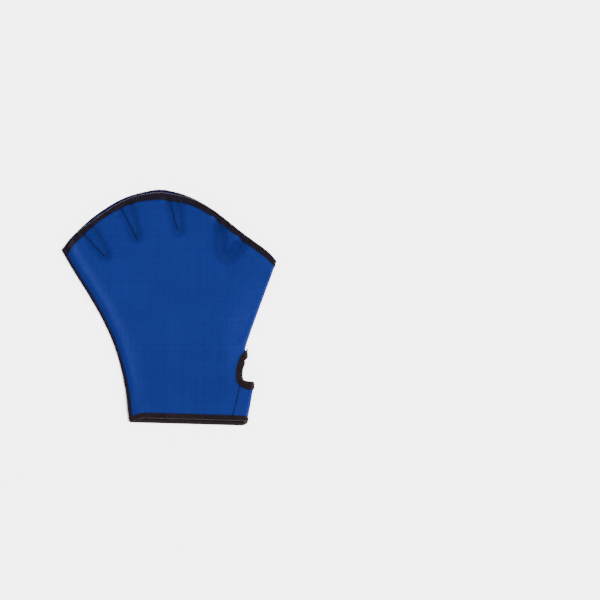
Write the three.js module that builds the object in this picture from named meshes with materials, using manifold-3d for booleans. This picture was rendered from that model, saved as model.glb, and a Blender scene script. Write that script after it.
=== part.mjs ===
// A webbed swim glove of neoprene, lying flat. The fingers point to +Y and the thumb side is +X.
// One sheet is folded along the thumb side and overlocked along the little-finger side, so the
// glove is a flat tube, open at the wrist and along the fingers. Stitched webs part the fingers.
// Sizes are millimetres.

import * as THREE from "three";
import { mergeVertices } from "three/addons/utils/BufferGeometryUtils.js";
import Module from "manifold-3d";

const wasm = await Module();
wasm.setup();

// Outline of the neoprene, seen from above
const WRIST_WIDTH = 92.2;
const WRIST_DROP = 2; // the wrist ends this much lower at the fold than at the seam
const SEAM_RISE = 137; // from the wrist to the corner beside the little finger
const SEAM_FLARE = 53.5; // that corner stands out this far past the wrist
const FOLD_RISE = 129.3;
const FOLD_FLARE = 23.7;
const WEB_RISE = 52.1; // crown of the finger edge above the line between its corners
const WRIST_PEEK = 4; // the back layer is this much longer than the front one at the wrist
const WRIST_PEEK_START = 0.15; // fully so from this share of the way across
const FINGER_PEEK = 4; // and at the crown of the finger edge
const FINGER_PEEK_SKEW = 0.7; // under 1 puts that crown nearer the seam
const FINGER_PEEK_SHARPNESS = 1.5;

// Thickness of the sheet
const WALL = 2;
const FOLD_RADIUS = 3.8; // outside of the fold
const SEAM_ALLOWANCE = 4.5; // width over which the seam holds the layers together

// Clear height between the two layers
const WRIST_GAP = 6.6;
const PALM_GAP = 8.4;
const FINGER_GAP = 8.6;
const SEWN_GAP = 0.5;
const WEB_GAP = 1;
const RIM_GAP = 2.8; // above a web, where the finger edge is still open

// How far from a line the layers still draw together or curl up
const SEAM_REACH_AT_WRIST = 18;
const SEAM_REACH_AT_FINGERS = 9;
const FOLD_REACH = 22;
const WEB_REACH = 6.5;
const EDGE_LIFT = 1.5; // the edges curl up from the surface, clear of their trims
const WEB_LIFT = 2;
const CURL_FULL = 7; // full curl out to here from an edge, and none past CURL_END
const CURL_END = 18;

// Trims, and their width from the raw edge onto each face
const CLEARANCE = 0.3;
const TAPE = 0.8;
const THREAD = 0.6;
const WRIST_TAPE_WIDTH = 3.2;
const THUMB_TAPE_WIDTH = 4.7;
const FINGER_EDGE_WIDTH = 3.4;
const SEAM_THREAD_WIDTH = 2.6;
const WEB_START = 9; // the webs' stitches start this far in from the finger edge
const WEB_FULL = 13.5; // and hold the layers as close as they go from here on
const WEB_HALF = 5; // half the width of the widest web, at the finger edge
const STITCH_HALF = 0.8; // half the width of a web where its lines of stitches meet

// Thumb hole, and the strap between it and the wrist
const THUMB_HOLE_LENGTH = 19.7;
const THUMB_HOLE_DEPTH = 9.3;
const THUMB_HOLE_START = 32.7; // above the wrist, along the fold
const STRAP_FLAP = 10.6; // from the fold to the seam that closes the strap
const STRAP_SEAM_WIDTH = 1.2;
const STRAP_SEAM_PROUD = 0.2;
const STRAP_SEAM_SUNK = 0.5;

const NEOPRENE_BLUE = 0x123f8d;
const TAPE_BLACK = 0x231e28;
const THREAD_BLACK = 0x2d2733;

// Little-finger side, from wrist to corner: shares of its flare and of its rise
const SEAM_SHAPE = [
  [0, 0], [0.022, 0.079], [0.045, 0.184], [0.12, 0.324], [0.232, 0.464],
  [0.394, 0.604], [0.598, 0.745], [0.822, 0.885], [1, 1],
];

// Thumb side, the same way. It stands out past the strap, then draws in above the thumb hole.
const FOLD_SHAPE = [
  [0, 0], [0.076, 0.062], [0.181, 0.173], [0.24, 0.254], [0.143, 0.334], [0.025, 0.402],
  [-0.03, 0.445], [-0.008, 0.489], [0.312, 0.656], [0.616, 0.804], [0.916, 0.953], [1, 1],
];

// Finger edge, from the little finger to the fold: shares of the chord and of its rise above it
const FINGER_SHAPE = [
  [0, 0], [0.08, 0.32], [0.169, 0.59], [0.282, 0.832], [0.394, 0.964], [0.476, 1],
  [0.587, 0.927], [0.7, 0.746], [0.841, 0.412], [0.953, 0.162], [1, 0],
];

// Thumb hole, from the strap up: shares of its depth into the palm and of its length
const THUMB_HOLE_SHAPE = [
  [0, 0], [0.35, 0.005], [0.613, 0.02], [0.85, 0.06], [0.96, 0.14], [1, 0.26], [0.99, 0.4],
  [0.957, 0.533], [0.88, 0.64], [0.806, 0.736], [0.731, 0.878], [0.548, 1],
];

// Webs, as [across, along] places: across from seam to fold, along from wrist to fingers. Each
// starts at the finger edge, at a share of the widest web's width, and narrows to its end.
const WEBS = [
  { path: [[0.13, 1], [0.146, 0.91], [0.163, 0.815]], widthShare: 1 },
  { path: [[0.314, 1], [0.322, 0.91], [0.331, 0.82]], widthShare: 0.88 },
  { path: [[0.511, 1], [0.519, 0.915], [0.528, 0.83]], widthShare: 0.8 },
  {
    path: [
      [0.718, 1], [0.724, 0.95], [0.732, 0.9], [0.74, 0.85], [0.757, 0.82], [0.78, 0.828],
      [0.803, 0.862], [0.823, 0.905], [0.839, 0.95], [0.844, 1],
    ],
    widthShare: 0.16,
  },
];
const WEB_STEPS = 18;

// Where the surface is sampled: columns as shares from seam to fold, closest over the webs, and
// rows as shares from rim to rim, moved by a shift. A row lies at the inner edge of each trim.
const COLUMNS = [
  0, 0.03, 0.07, 0.105, 0.13, 0.16, 0.19, 0.225, 0.26, 0.293, 0.315, 0.338, 0.375, 0.41, 0.445,
  0.48, 0.51, 0.54, 0.575, 0.615, 0.655, 0.69, 0.718, 0.74, 0.77, 0.805, 0.838, 0.885, 0.94, 1,
];
const FOLD_STEPS = 5;
const SETBACK_RATIO = 3.6; // how far in from the seam a trim's hollow starts, to its thickness
const WRIST_ROWS = [
  { share: 0, shift: 0 },
  { share: 0, shift: WRIST_TAPE_WIDTH },
  { share: 0, shift: WRIST_TAPE_WIDTH + CURL_FULL },
];
const MIDDLE_ROWS = [0.14, 0.19, 0.24, 0.3, 0.36, 0.43, 0.53, 0.64, 0.74, 0.81, 0.88];
const FINGER_ROWS = [
  { share: 1, shift: -WEB_FULL },
  { share: 1, shift: -WEB_START },
  { share: 1, shift: -FINGER_EDGE_WIDTH },
  { share: 1, shift: 0 },
];
const ALL_ROWS = [
  ...WRIST_ROWS,
  ...MIDDLE_ROWS.map((share) => ({ share, shift: 0 })),
  ...FINGER_ROWS,
];
const SEAM_STEPS = 14;
const STRAP_STEPS = 5;
const NEARBY = 0.02; // share along a column between two places that give its direction

const { clamp, lerp, smoothstep } = THREE.MathUtils;

// Corners of the outline, seen from above
const wristSeam = new THREE.Vector2(0, 0);
const wristFold = new THREE.Vector2(WRIST_WIDTH, -WRIST_DROP);
const fanSeam = new THREE.Vector2(-SEAM_FLARE, SEAM_RISE);
const fanFold = new THREE.Vector2(WRIST_WIDTH + FOLD_FLARE, FOLD_RISE - WRIST_DROP);

const sideLine = (from, to, shape) =>
  new THREE.SplineCurve(
    shape.map(([out, up]) => new THREE.Vector2(lerp(from.x, to.x, out), lerp(from.y, to.y, up))),
  );

const seamLine = sideLine(wristSeam, fanSeam, SEAM_SHAPE);
const foldLine = sideLine(wristFold, fanFold, FOLD_SHAPE);
const fingerLine = new THREE.SplineCurve(
  FINGER_SHAPE.map(([across, rise]) => {
    const point = fanSeam.clone().lerp(fanFold, across);
    point.y += rise * WEB_RISE;
    return point;
  }),
);

// The place on the glove seen from above, for across and along from 0 to 1
function placeWithin(across, along) {
  const chord = fanSeam.clone().lerp(fanFold, across);
  const wrist = wristSeam.clone().lerp(wristFold, across);
  const between = wrist.clone().lerp(chord, along);
  const rows = wrist.lerp(fingerLine.getPointAt(across), along);
  const columns = seamLine.getPointAt(along).lerp(foldLine.getPointAt(along), across);
  return rows.add(columns).sub(between);
}

const columnLength = (across) => placeWithin(across, 0).distanceTo(placeWithin(across, 1));

function rowWidth(along) {
  const inside = clamp(along, 0, 1);
  return seamLine.getPointAt(inside).distanceTo(foldLine.getPointAt(inside));
}

// The same place, carried straight on where along runs past a rim
function place(across, along) {
  const inside = clamp(along, 0, 1);
  const at = placeWithin(across, inside);
  if (along === inside) return at;
  const nearby = placeWithin(across, inside + (along < 0 ? NEARBY : -NEARBY));
  const onwards = at.clone().sub(nearby).normalize();
  return at.addScaledVector(onwards, Math.abs(along - inside) * columnLength(across));
}

// A quarter sine, from 0 at no distance to 1 at the reach
const ramp = (distance, reach) => Math.sin((Math.PI / 2) * clamp(distance / reach, 0, 1));

const webLines = WEBS.map(({ path, widthShare }) => {
  const curve = new THREE.SplineCurve(path.map((pair) => new THREE.Vector2(...pair)));
  return curve.getPoints(WEB_STEPS).map(({ x: across, y: along }, step) => ({
    across,
    along,
    half: lerp(widthShare * WEB_HALF, STITCH_HALF, step / WEB_STEPS),
    at: place(across, along),
  }));
});

// Clear distance from a place to the side of a web, 0 inside it
function distanceToWeb(point, line) {
  let least = Infinity;
  for (let i = 0; i + 1 < line.length; i++) {
    const run = line[i + 1].at.clone().sub(line[i].at);
    const share = clamp(point.clone().sub(line[i].at).dot(run) / run.lengthSq(), 0, 1);
    const nearest = line[i].at.clone().addScaledVector(run, share);
    const half = lerp(line[i].half, line[i + 1].half, share);
    least = Math.min(least, point.distanceTo(nearest) - half);
  }
  return Math.max(least, 0);
}

// How free the layers are of the webs at a place, from 0 on a web to 1 clear of them all
function webFreedom(point) {
  return webLines.reduce((free, line) => free * ramp(distanceToWeb(point, line), WEB_REACH), 1);
}

const holeStart = foldLine.getPointAt(THUMB_HOLE_START / foldLine.getLength());
const holeCentre = new THREE.Vector2(
  holeStart.x - THUMB_HOLE_DEPTH / 2,
  holeStart.y + THUMB_HOLE_LENGTH / 2,
);

function layerGap(across, along) {
  const width = rowWidth(along);
  const fromSeam = across * width - SEAM_ALLOWANCE;
  const fromFold = (1 - across) * width - FOLD_RADIUS;
  const fromFingers = (1 - along) * columnLength(across);
  const seamReach = lerp(SEAM_REACH_AT_WRIST, SEAM_REACH_AT_FINGERS, clamp(along, 0, 1));
  const palm = Math.sin(Math.PI * clamp(along, 0, 1));
  const crest = lerp(lerp(WRIST_GAP, FINGER_GAP, clamp(along, 0, 1)), PALM_GAP, palm);
  const full = lerp(2 * (FOLD_RADIUS - WALL), crest, ramp(fromFold, FOLD_REACH));
  const belowRim = smoothstep(fromFingers, WEB_START, WEB_FULL);
  const overWeb = lerp(RIM_GAP, WEB_GAP, belowRim);
  const parted = lerp(overWeb, full, webFreedom(place(across, along)));
  return lerp(SEWN_GAP, parted, ramp(fromSeam, seamReach));
}

// Height of the underside above the surface that the glove lies on
function restHeight(across, along) {
  const at = place(across, along);
  const fromWrist = along * columnLength(across);
  const fromFingers = (1 - along) * columnLength(across);
  const fromSeam = across * rowWidth(along);
  const fromHole = at.distanceTo(holeCentre) - THUMB_HOLE_LENGTH / 2;
  const fromEdge = Math.min(fromWrist, fromFingers, fromSeam, fromHole);
  const curl = EDGE_LIFT * (1 - smoothstep(fromEdge, CURL_FULL, CURL_END));
  return Math.max(curl, WEB_LIFT * (1 - webFreedom(at)));
}

// How much shorter than the back layer the front one is, at the wrist and at the fingers
const wristPeek = (across) => WRIST_PEEK * ramp(across, WRIST_PEEK_START);

function fingerPeek(across) {
  const skewed = clamp(across, 0, 1) ** FINGER_PEEK_SKEW;
  return FINGER_PEEK * Math.max(Math.sin(Math.PI * skewed), 0) ** FINGER_PEEK_SHARPNESS;
}

// One way round the flat tube: over the front layer, round the fold and back along the back layer.
// turn goes from a quarter turn on the front layer to minus a quarter turn on the back layer.
const quarter = Math.PI / 2;
const foldTurns = Array.from({ length: FOLD_STEPS - 1 }, (_, step) =>
  lerp(quarter, -quarter, (step + 1) / FOLD_STEPS),
);
const STATIONS = [
  ...COLUMNS.map((share) => ({ share, turn: quarter })),
  ...foldTurns.map((turn) => ({ share: 1, turn })),
  ...COLUMNS.toReversed().map((share) => ({ share, turn: -quarter })),
];

// How far along a row lies in a column, on the layer that the turn faces
function alongAt(across, row, turn) {
  const front = (1 + Math.sin(turn)) / 2;
  const length = columnLength(across);
  const wrist = (front * wristPeek(across)) / length;
  const fingers = 1 - (front * fingerPeek(across)) / length;
  return lerp(wrist, fingers, row.share) + row.shift / length;
}

// A point on the tube's outer or inner skin, moved out of the neoprene by offset. The hollow
// ends further from the seam when its skin is moved in, where the layers are still far apart.
function skinPoint({ share, turn }, row, isInner, offset) {
  const innerEnd = SEAM_ALLOWANCE + SETBACK_RATIO * offset * (1 + share);
  const fromSeam = (width) =>
    isInner
      ? Math.max(lerp(SEAM_ALLOWANCE, width - FOLD_RADIUS, share), innerEnd)
      : share * (width - FOLD_RADIUS);
  const nearWidth = rowWidth(row.share);
  const along = alongAt(fromSeam(nearWidth) / nearWidth, row, turn);
  const across = fromSeam(rowWidth(along)) / rowWidth(along);
  const at = place(across, along);
  const outwards = place(1, along).sub(at).normalize();
  const gap = layerGap(across, along);
  const middle = restHeight(across, along) + WALL + gap / 2;
  const inside = Math.max(gap / 2 - offset, SEWN_GAP / 2);
  const reach = isInner ? inside : gap / 2 + WALL + offset;
  if (share === 1) at.addScaledVector(outwards, reach * Math.cos(turn));
  if (share === 0 && !isInner) at.addScaledVector(outwards, -offset);
  return new THREE.Vector3(at.x, at.y, middle + reach * Math.sin(turn));
}

function solidOfGeometry(geometry) {
  const bare = geometry.clone();
  bare.deleteAttribute("normal");
  bare.deleteAttribute("uv");
  const merged = mergeVertices(bare, 1e-4);
  const mesh = new wasm.Mesh({
    numProp: 3,
    vertProperties: merged.attributes.position.array,
    triVerts: new Uint32Array(merged.index.array),
  });
  return new wasm.Manifold(mesh);
}

function solidOfPoints(points, triangles) {
  return solidOfGeometry(new THREE.BufferGeometry().setFromPoints(points).setIndex(triangles));
}

// Two triangles for each side between one loop of points and the next
function sidesBetween(here, next, size) {
  const triangles = [];
  for (let j = 0; j < size; j++) {
    const k = (j + 1) % size;
    triangles.push(here + j, here + k, next + k, here + j, next + k, next + j);
  }
  return triangles;
}

// A ring-shaped solid: each loop is joined to the next, and the last to the first
function ringSolid(loops) {
  const size = loops[0].length;
  const triangles = loops.flatMap((_, i) =>
    sidesBetween(i * size, ((i + 1) % loops.length) * size, size),
  );
  return solidOfPoints(loops.flat(), triangles);
}

// A bar of four-cornered sections, with both ends closed
function barSolid(sections) {
  const last = (sections.length - 1) * 4;
  const triangles = [0, 2, 1, 0, 3, 2, last, last + 1, last + 2, last, last + 2, last + 3];
  for (let here = 0; here < last; here += 4) triangles.push(...sidesBetween(here, here + 4, 4));
  return solidOfPoints(sections.flat(), triangles);
}

// The flat tube between its first and last row, with all its skins moved out by offset
function tube(offset, rows) {
  const loop = (row, isInner) => STATIONS.map((at) => skinPoint(at, row, isInner, offset));
  const outer = rows.map((row) => loop(row, false));
  const inner = rows.map((row) => loop(row, true));
  return ringSolid([...outer, ...inner.toReversed()]);
}

// An upright block through both layers, with this outline seen from above
function prism(outline) {
  const depth = PALM_GAP + 20 * WALL;
  const geometry = new THREE.ExtrudeGeometry(new THREE.Shape(outline), {
    depth,
    bevelEnabled: false,
  });
  return solidOfGeometry(geometry.translate(0, 0, -depth / 3));
}

// The point of a line moved to the left of the line's direction
function movedLeft(line, index, distance) {
  const before = line[Math.max(index - 1, 0)];
  const after = line[Math.min(index + 1, line.length - 1)];
  const left = after.clone().sub(before).normalize().rotateAround(new THREE.Vector2(), quarter);
  return line[index].clone().addScaledVector(left, distance);
}

// The thumb hole, grown into the fabric all round. Past the fold it opens out towards the fingers.
function thumbHole(growth) {
  const edge = THUMB_HOLE_SHAPE.map(
    ([depth, up]) =>
      new THREE.Vector2(
        holeStart.x - depth * THUMB_HOLE_DEPTH,
        holeStart.y + up * THUMB_HOLE_LENGTH,
      ),
  );
  const beyond = 4 * FOLD_RADIUS;
  const strapSide = holeStart.clone().add(new THREE.Vector2(beyond, 0));
  const palmSide = edge[edge.length - 1].clone().add(new THREE.Vector2(beyond, beyond));
  const line = [strapSide, ...edge, palmSide];
  return prism(line.map((_, index) => movedLeft(line, index, growth)));
}

// A bar along the strap's seam, between the wrist tape and the tape of the thumb hole. Its top
// and bottom are measured up from the face of the strap.
function strapBar(halfWidth, top, bottom, endGap) {
  const start = (WRIST_PEEK + WRIST_TAPE_WIDTH + endGap) / foldLine.getLength();
  const end = (THUMB_HOLE_START - THUMB_TAPE_WIDTH - endGap) / foldLine.getLength();
  const sections = Array.from({ length: STRAP_STEPS + 1 }, (_, step) => {
    const along = lerp(start, end, step / STRAP_STEPS);
    const across = 1 - STRAP_FLAP / rowWidth(along);
    const at = place(across, along);
    const aside = place(1, along).sub(at).setLength(halfWidth);
    const face = restHeight(across, along) + 2 * WALL + layerGap(across, along);
    const corner = (side, height) =>
      new THREE.Vector3(at.x + side * aside.x, at.y + side * aside.y, face + height);
    return [corner(-1, bottom), corner(-1, top), corner(1, top), corner(1, bottom)];
  });
  return barSolid(sections);
}

// Where a web's stitches hold the layers together, from the middle of one to that of the other
function webSolid(line) {
  const sewn = line.filter(
    ({ across, along }) => (1 - along) * columnLength(across) >= WEB_START,
  );
  const path = sewn.map(({ at }) => at);
  const sections = sewn.map(({ across, along, half }, index) => {
    const corner = (side, layer) => {
      const at = movedLeft(path, index, side * half);
      const aside = across + (side * half) / rowWidth(along);
      const low = restHeight(aside, along) + WALL / 2;
      return new THREE.Vector3(at.x, at.y, low + layer * (WALL + layerGap(aside, along)));
    };
    return [corner(1, 0), corner(1, 1), corner(-1, 1), corner(-1, 0)];
  });
  return barSolid(sections);
}

// Rows at these distances in from a rim, 0 the wrist and 1 the fingers
function rimRows(rim, distances) {
  const rows = distances.map((inwards) => ({ share: rim, shift: rim === 0 ? inwards : -inwards }));
  return rim === 0 ? rows : rows.toReversed();
}

// A band folded over the edge of both layers, all round a rim
function rimTrim(rim, thickness, width) {
  const past = CLEARANCE + thickness;
  return tube(past, rimRows(rim, [-past, width])).subtract(clearOfSheet);
}

// An upright block along the seam, from outside the glove to the inner edge of the seam's threads,
// and from the wrist tape to the threads of the finger edge
function seamBlock() {
  const inner = SEAM_THREAD_WIDTH / WRIST_WIDTH;
  const length = columnLength(0);
  const start = (wristPeek(inner) + WRIST_TAPE_WIDTH + 2 * CLEARANCE) / length;
  const end = 1 - (fingerPeek(inner) + FINGER_EDGE_WIDTH + 2 * CLEARANCE) / length;
  const alongs = Array.from({ length: SEAM_STEPS + 1 }, (_, step) =>
    lerp(start, end, step / SEAM_STEPS),
  );
  const inside = alongs.map((along) => place(SEAM_THREAD_WIDTH / rowWidth(along), along));
  const outside = alongs.map((along) => {
    const at = place(0, along);
    const outwards = at.clone().sub(place(1, along)).setLength(SEAM_ALLOWANCE);
    return at.add(outwards);
  });
  return prism([...inside, place(0, end), ...outside.toReversed(), place(0, start)]);
}

const sheet = tube(0, ALL_ROWS);
const clearOfSheet = tube(CLEARANCE, [
  { share: 0, shift: -CLEARANCE },
  ...ALL_ROWS,
  { share: 1, shift: CLEARANCE },
]);

function shell() {
  const webs = webLines.map(webSolid);
  const joined = webs.reduce((whole, web) => whole.add(web), sheet);
  const groove = strapBar(
    STRAP_SEAM_WIDTH / 2 + CLEARANCE,
    WALL,
    -STRAP_SEAM_SUNK - CLEARANCE,
    0,
  );
  return joined.subtract(thumbHole(0)).subtract(groove);
}

function thumbBinding() {
  const past = CLEARANCE + TAPE;
  const band = tube(past, ALL_ROWS).intersect(thumbHole(THUMB_TAPE_WIDTH));
  const fabric = clearOfSheet.subtract(thumbHole(-CLEARANCE));
  return band.subtract(thumbHole(-past)).subtract(fabric);
}

function sideSeam() {
  return tube(CLEARANCE + THREAD, ALL_ROWS).intersect(seamBlock()).subtract(clearOfSheet);
}

const strapSeam = () =>
  strapBar(STRAP_SEAM_WIDTH / 2, STRAP_SEAM_PROUD, -STRAP_SEAM_SUNK, 4 * CLEARANCE);

function part(name, solid, color, roughness) {
  const { vertProperties, triVerts } = solid.getMesh();
  const geometry = new THREE.BufferGeometry();
  geometry.setAttribute("position", new THREE.BufferAttribute(vertProperties, 3));
  geometry.setIndex(new THREE.BufferAttribute(triVerts, 1));
  const material = new THREE.MeshStandardMaterial({
    color,
    roughness,
    metalness: 0,
    flatShading: true,
  });
  const mesh = new THREE.Mesh(geometry, material);
  mesh.name = name;
  return mesh;
}

const glove = new THREE.Group();
glove.add(
  part("shell", shell(), NEOPRENE_BLUE, 0.9),
  part("finger_edge", rimTrim(1, THREAD, FINGER_EDGE_WIDTH), THREAD_BLACK, 0.95),
  part("side_seam", sideSeam(), THREAD_BLACK, 0.95),
  part("wrist_binding", rimTrim(0, TAPE, WRIST_TAPE_WIDTH), TAPE_BLACK, 0.85),
  part("thumb_binding", thumbBinding(), TAPE_BLACK, 0.85),
  part("strap_seam", strapSeam(), THREAD_BLACK, 0.95),
);

// The origin is the middle of the glove's footprint, on the surface that it lies on
const box = new THREE.Box3().setFromObject(glove);
const middle = box.getCenter(new THREE.Vector3());
glove.position.set(-middle.x, -middle.y, -box.min.z);

const group = new THREE.Group();
group.add(glove);
export default group;
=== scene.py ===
"""A webbed swim glove of blue neoprene with black trims, lying flat on a pale floor.

The glove is one sheet of neoprene, folded along the thumb side and overlocked along the
little-finger side. SheetForm gives the place of every point of that sheet. The trims, threads and
stitches are laid on it. Lengths in the classes are millimetres, and meshes are metres.
"""

import logging
import math
from dataclasses import dataclass, field, fields, replace
from enum import Enum

import bmesh
import bpy
import numpy as np
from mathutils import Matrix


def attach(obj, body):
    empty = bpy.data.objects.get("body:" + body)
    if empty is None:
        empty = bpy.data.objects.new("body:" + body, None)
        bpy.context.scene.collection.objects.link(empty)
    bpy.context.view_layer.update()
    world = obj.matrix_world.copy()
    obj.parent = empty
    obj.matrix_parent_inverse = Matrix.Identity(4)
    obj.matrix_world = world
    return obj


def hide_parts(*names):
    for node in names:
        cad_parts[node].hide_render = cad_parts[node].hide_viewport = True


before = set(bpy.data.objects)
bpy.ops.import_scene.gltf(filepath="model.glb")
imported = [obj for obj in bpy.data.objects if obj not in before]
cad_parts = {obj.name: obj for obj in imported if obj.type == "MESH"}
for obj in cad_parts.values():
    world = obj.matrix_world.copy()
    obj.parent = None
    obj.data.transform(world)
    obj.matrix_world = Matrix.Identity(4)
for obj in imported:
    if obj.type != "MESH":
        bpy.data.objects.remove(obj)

MM = 0.001
BODY = "root"
LOG = logging.getLogger("swim_glove")
UPRIGHT = np.array([0.0, 0.0, 1.0])
DIAGONAL = np.array([1.0, 1.0]) / math.sqrt(2)
QUARTER = math.pi / 2
Colour = tuple[float, float, float, float]


class Layer(Enum):
    """The two layers of the folded sheet, with the side that each one's outer face is on."""

    FRONT = 1
    BACK = -1


class Rim(Enum):
    """The two open ends of the glove, as shares of the way from wrist to fingers."""

    WRIST = 0
    FINGERS = 1


def normalised(vectors: np.ndarray) -> np.ndarray:
    """Unit vectors along the last axis.

    Args:
        vectors: Any number of vectors.

    Returns:
        The vectors at length one, and 0 where the length was 0.
    """
    lengths = np.linalg.norm(vectors, axis=-1, keepdims=True)
    return vectors / np.where(lengths > 0, lengths, 1)


def smooth_step(value: np.ndarray, low: float, high: float) -> np.ndarray:
    """An eased step from 0 at low to 1 at high.

    Args:
        value: Where to read the step.
        low: The value below which it is 0.
        high: The value above which it is 1.

    Returns:
        The step at each value.
    """
    share = np.clip((value - low) / (high - low), 0, 1)
    return share * share * (3 - 2 * share)


def quarter_wave(distance: np.ndarray, reach: np.ndarray) -> np.ndarray:
    """A quarter sine, from 0 at no distance to 1 at the reach.

    Args:
        distance: Distances from a line.
        reach: The distance at which the wave is full.

    Returns:
        The wave at each distance.
    """
    return np.sin(QUARTER * np.clip(distance / reach, 0, 1))


def bell(value: np.ndarray, centre: float, width: float) -> np.ndarray:
    """A bell curve: 1 at the centre, and 1/e at that width from it."""
    return np.exp(-(((value - centre) / width) ** 2))


def walked_lengths(points: np.ndarray) -> np.ndarray:
    """The length walked to each point of a line, from 0."""
    return np.concatenate([[0], np.cumsum(np.linalg.norm(np.diff(points, axis=0), axis=1))])


def linked(name: str, data: bpy.types.ID) -> bpy.types.Object:
    """A new object in the scene, at the origin."""
    thing = bpy.data.objects.new(name, data)
    bpy.context.scene.collection.objects.link(thing)
    return thing


def evaluated_mesh(thing: bpy.types.Object) -> bpy.types.Mesh:
    """A plain mesh of an object with its modifiers applied."""
    bpy.context.view_layer.update()
    graph = bpy.context.evaluated_depsgraph_get()
    return bpy.data.meshes.new_from_object(thing.evaluated_get(graph))


def distance_to_line(points: np.ndarray, line: np.ndarray, half: np.ndarray) -> np.ndarray:
    """Clear distance from places to the side of a band along a line, 0 inside it.

    Args:
        points: Places in the plane, any shape ending in 2.
        line: The line's points in order.
        half: Half the band's width at each point of the line.

    Returns:
        The least distance for each place.
    """
    least = np.full(points.shape[:-1], np.inf)
    for start, end, half_start, half_end in zip(line[:-1], line[1:], half[:-1], half[1:]):
        run = end - start
        share = np.clip(((points - start) @ run) / (run @ run), 0, 1)
        nearest = start + share[..., None] * run
        away = np.linalg.norm(points - nearest, axis=-1)
        least = np.minimum(least, away - (half_start + share * (half_end - half_start)))
    return np.maximum(least, 0)


class SmoothLine:
    """A smooth line through places in the plane, walked by share of its length."""

    STEPS = 200

    def __init__(self, points: np.ndarray | tuple) -> None:
        """Measures the line once.

        Args:
            points: The places that the line goes through.
        """
        self.points = np.array(points, float)
        self.parameters = np.linspace(0, 1, self.STEPS + 1)
        self.lengths = walked_lengths(self.at_parameter(self.parameters))

    def at_parameter(self, parameter: np.ndarray) -> np.ndarray:
        """The places at parameters from 0 to 1, with as much for each span between two points."""
        last = len(self.points) - 1
        position = np.clip(parameter, 0, 1) * last
        span = np.minimum(np.floor(position).astype(int), last)
        weight = (position - span)[..., None]
        before = self.points[np.where(span == 0, span, span - 1)]
        here = self.points[span]
        there = self.points[np.minimum(span + 1, last)]
        after = self.points[np.minimum(span + 2, last)]
        slope_here, slope_there = (there - before) / 2, (after - here) / 2
        cubic = 2 * here - 2 * there + slope_here + slope_there
        square = -3 * here + 3 * there - 2 * slope_here - slope_there
        return ((cubic * weight + square) * weight + slope_here) * weight + here

    def at(self, share: np.ndarray) -> np.ndarray:
        """The places at shares of the line's length."""
        walked = np.clip(np.asarray(share, float), 0, 1) * self.lengths[-1]
        return self.at_parameter(np.interp(walked, self.lengths, self.parameters))

    @property
    def length(self) -> float:
        """The line's length."""
        return float(self.lengths[-1])


@dataclass(frozen=True)
class Web:
    """A web between two fingers, where stitches hold the layers together.

    Its path and stitch lines are [across, along] places: across from seam to fold, along from
    wrist to fingers.
    """

    path: tuple[tuple[float, float], ...]
    half_at_rim: float
    stitch_lines: tuple[tuple[tuple[float, float], ...], ...]
    dips: tuple[float, float] = (1.8, 0.6)


WEBS = (
    Web(
        ((0.1288, 1), (0.1446, 0.91), (0.1615, 0.815)),
        5.0,
        (
            ((0.109, 0.975), (0.1129, 0.96), (0.1228, 0.927), (0.1327, 0.888), (0.1426, 0.859),
             (0.1565, 0.815)),
            ((0.1555, 0.985), (0.1575, 0.969), (0.1615, 0.939), (0.1634, 0.914), (0.1615, 0.874),
             (0.1624, 0.841), (0.1634, 0.808)),
        ),
    ),
    Web(
        ((0.311, 1), (0.3189, 0.91), (0.3279, 0.82)),
        4.4,
        (
            ((0.2892, 0.982), (0.2932, 0.967), (0.3001, 0.935), (0.3051, 0.91), (0.309, 0.888),
             (0.315, 0.866), (0.3199, 0.84), (0.3269, 0.808)),
            ((0.3378, 0.972), (0.3358, 0.955), (0.3318, 0.915), (0.3288, 0.88), (0.3298, 0.852),
             (0.3308, 0.822)),
        ),
    ),
    Web(
        ((0.5061, 1), (0.5141, 0.915), (0.523, 0.83)),
        4.0,
        (
            ((0.4873, 0.972), (0.4913, 0.954), (0.4962, 0.934), (0.5002, 0.915), (0.5042, 0.889),
             (0.5081, 0.871), (0.5131, 0.852), (0.521, 0.835)),
            ((0.5289, 0.972), (0.5279, 0.952), (0.526, 0.921), (0.524, 0.887), (0.523, 0.85),
             (0.524, 0.82)),
        ),
    ),
    Web(
        ((0.7112, 1), (0.7171, 0.95), (0.725, 0.9), (0.733, 0.85), (0.7498, 0.82), (0.7726, 0.828),
         (0.7954, 0.862), (0.8152, 0.905), (0.831, 0.95), (0.836, 1)),
        0.8,
        (
            ((0.7132, 0.982), (0.7151, 0.96), (0.7231, 0.92), (0.729, 0.869), (0.735, 0.838),
             (0.7409, 0.821), (0.7498, 0.812), (0.7627, 0.815), (0.7766, 0.825), (0.7934, 0.849)),
            ((0.7934, 0.849), (0.8102, 0.884), (0.8201, 0.911), (0.8271, 0.935), (0.834, 0.978)),
        ),
        (0.7, 0.3),
    ),
)


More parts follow.
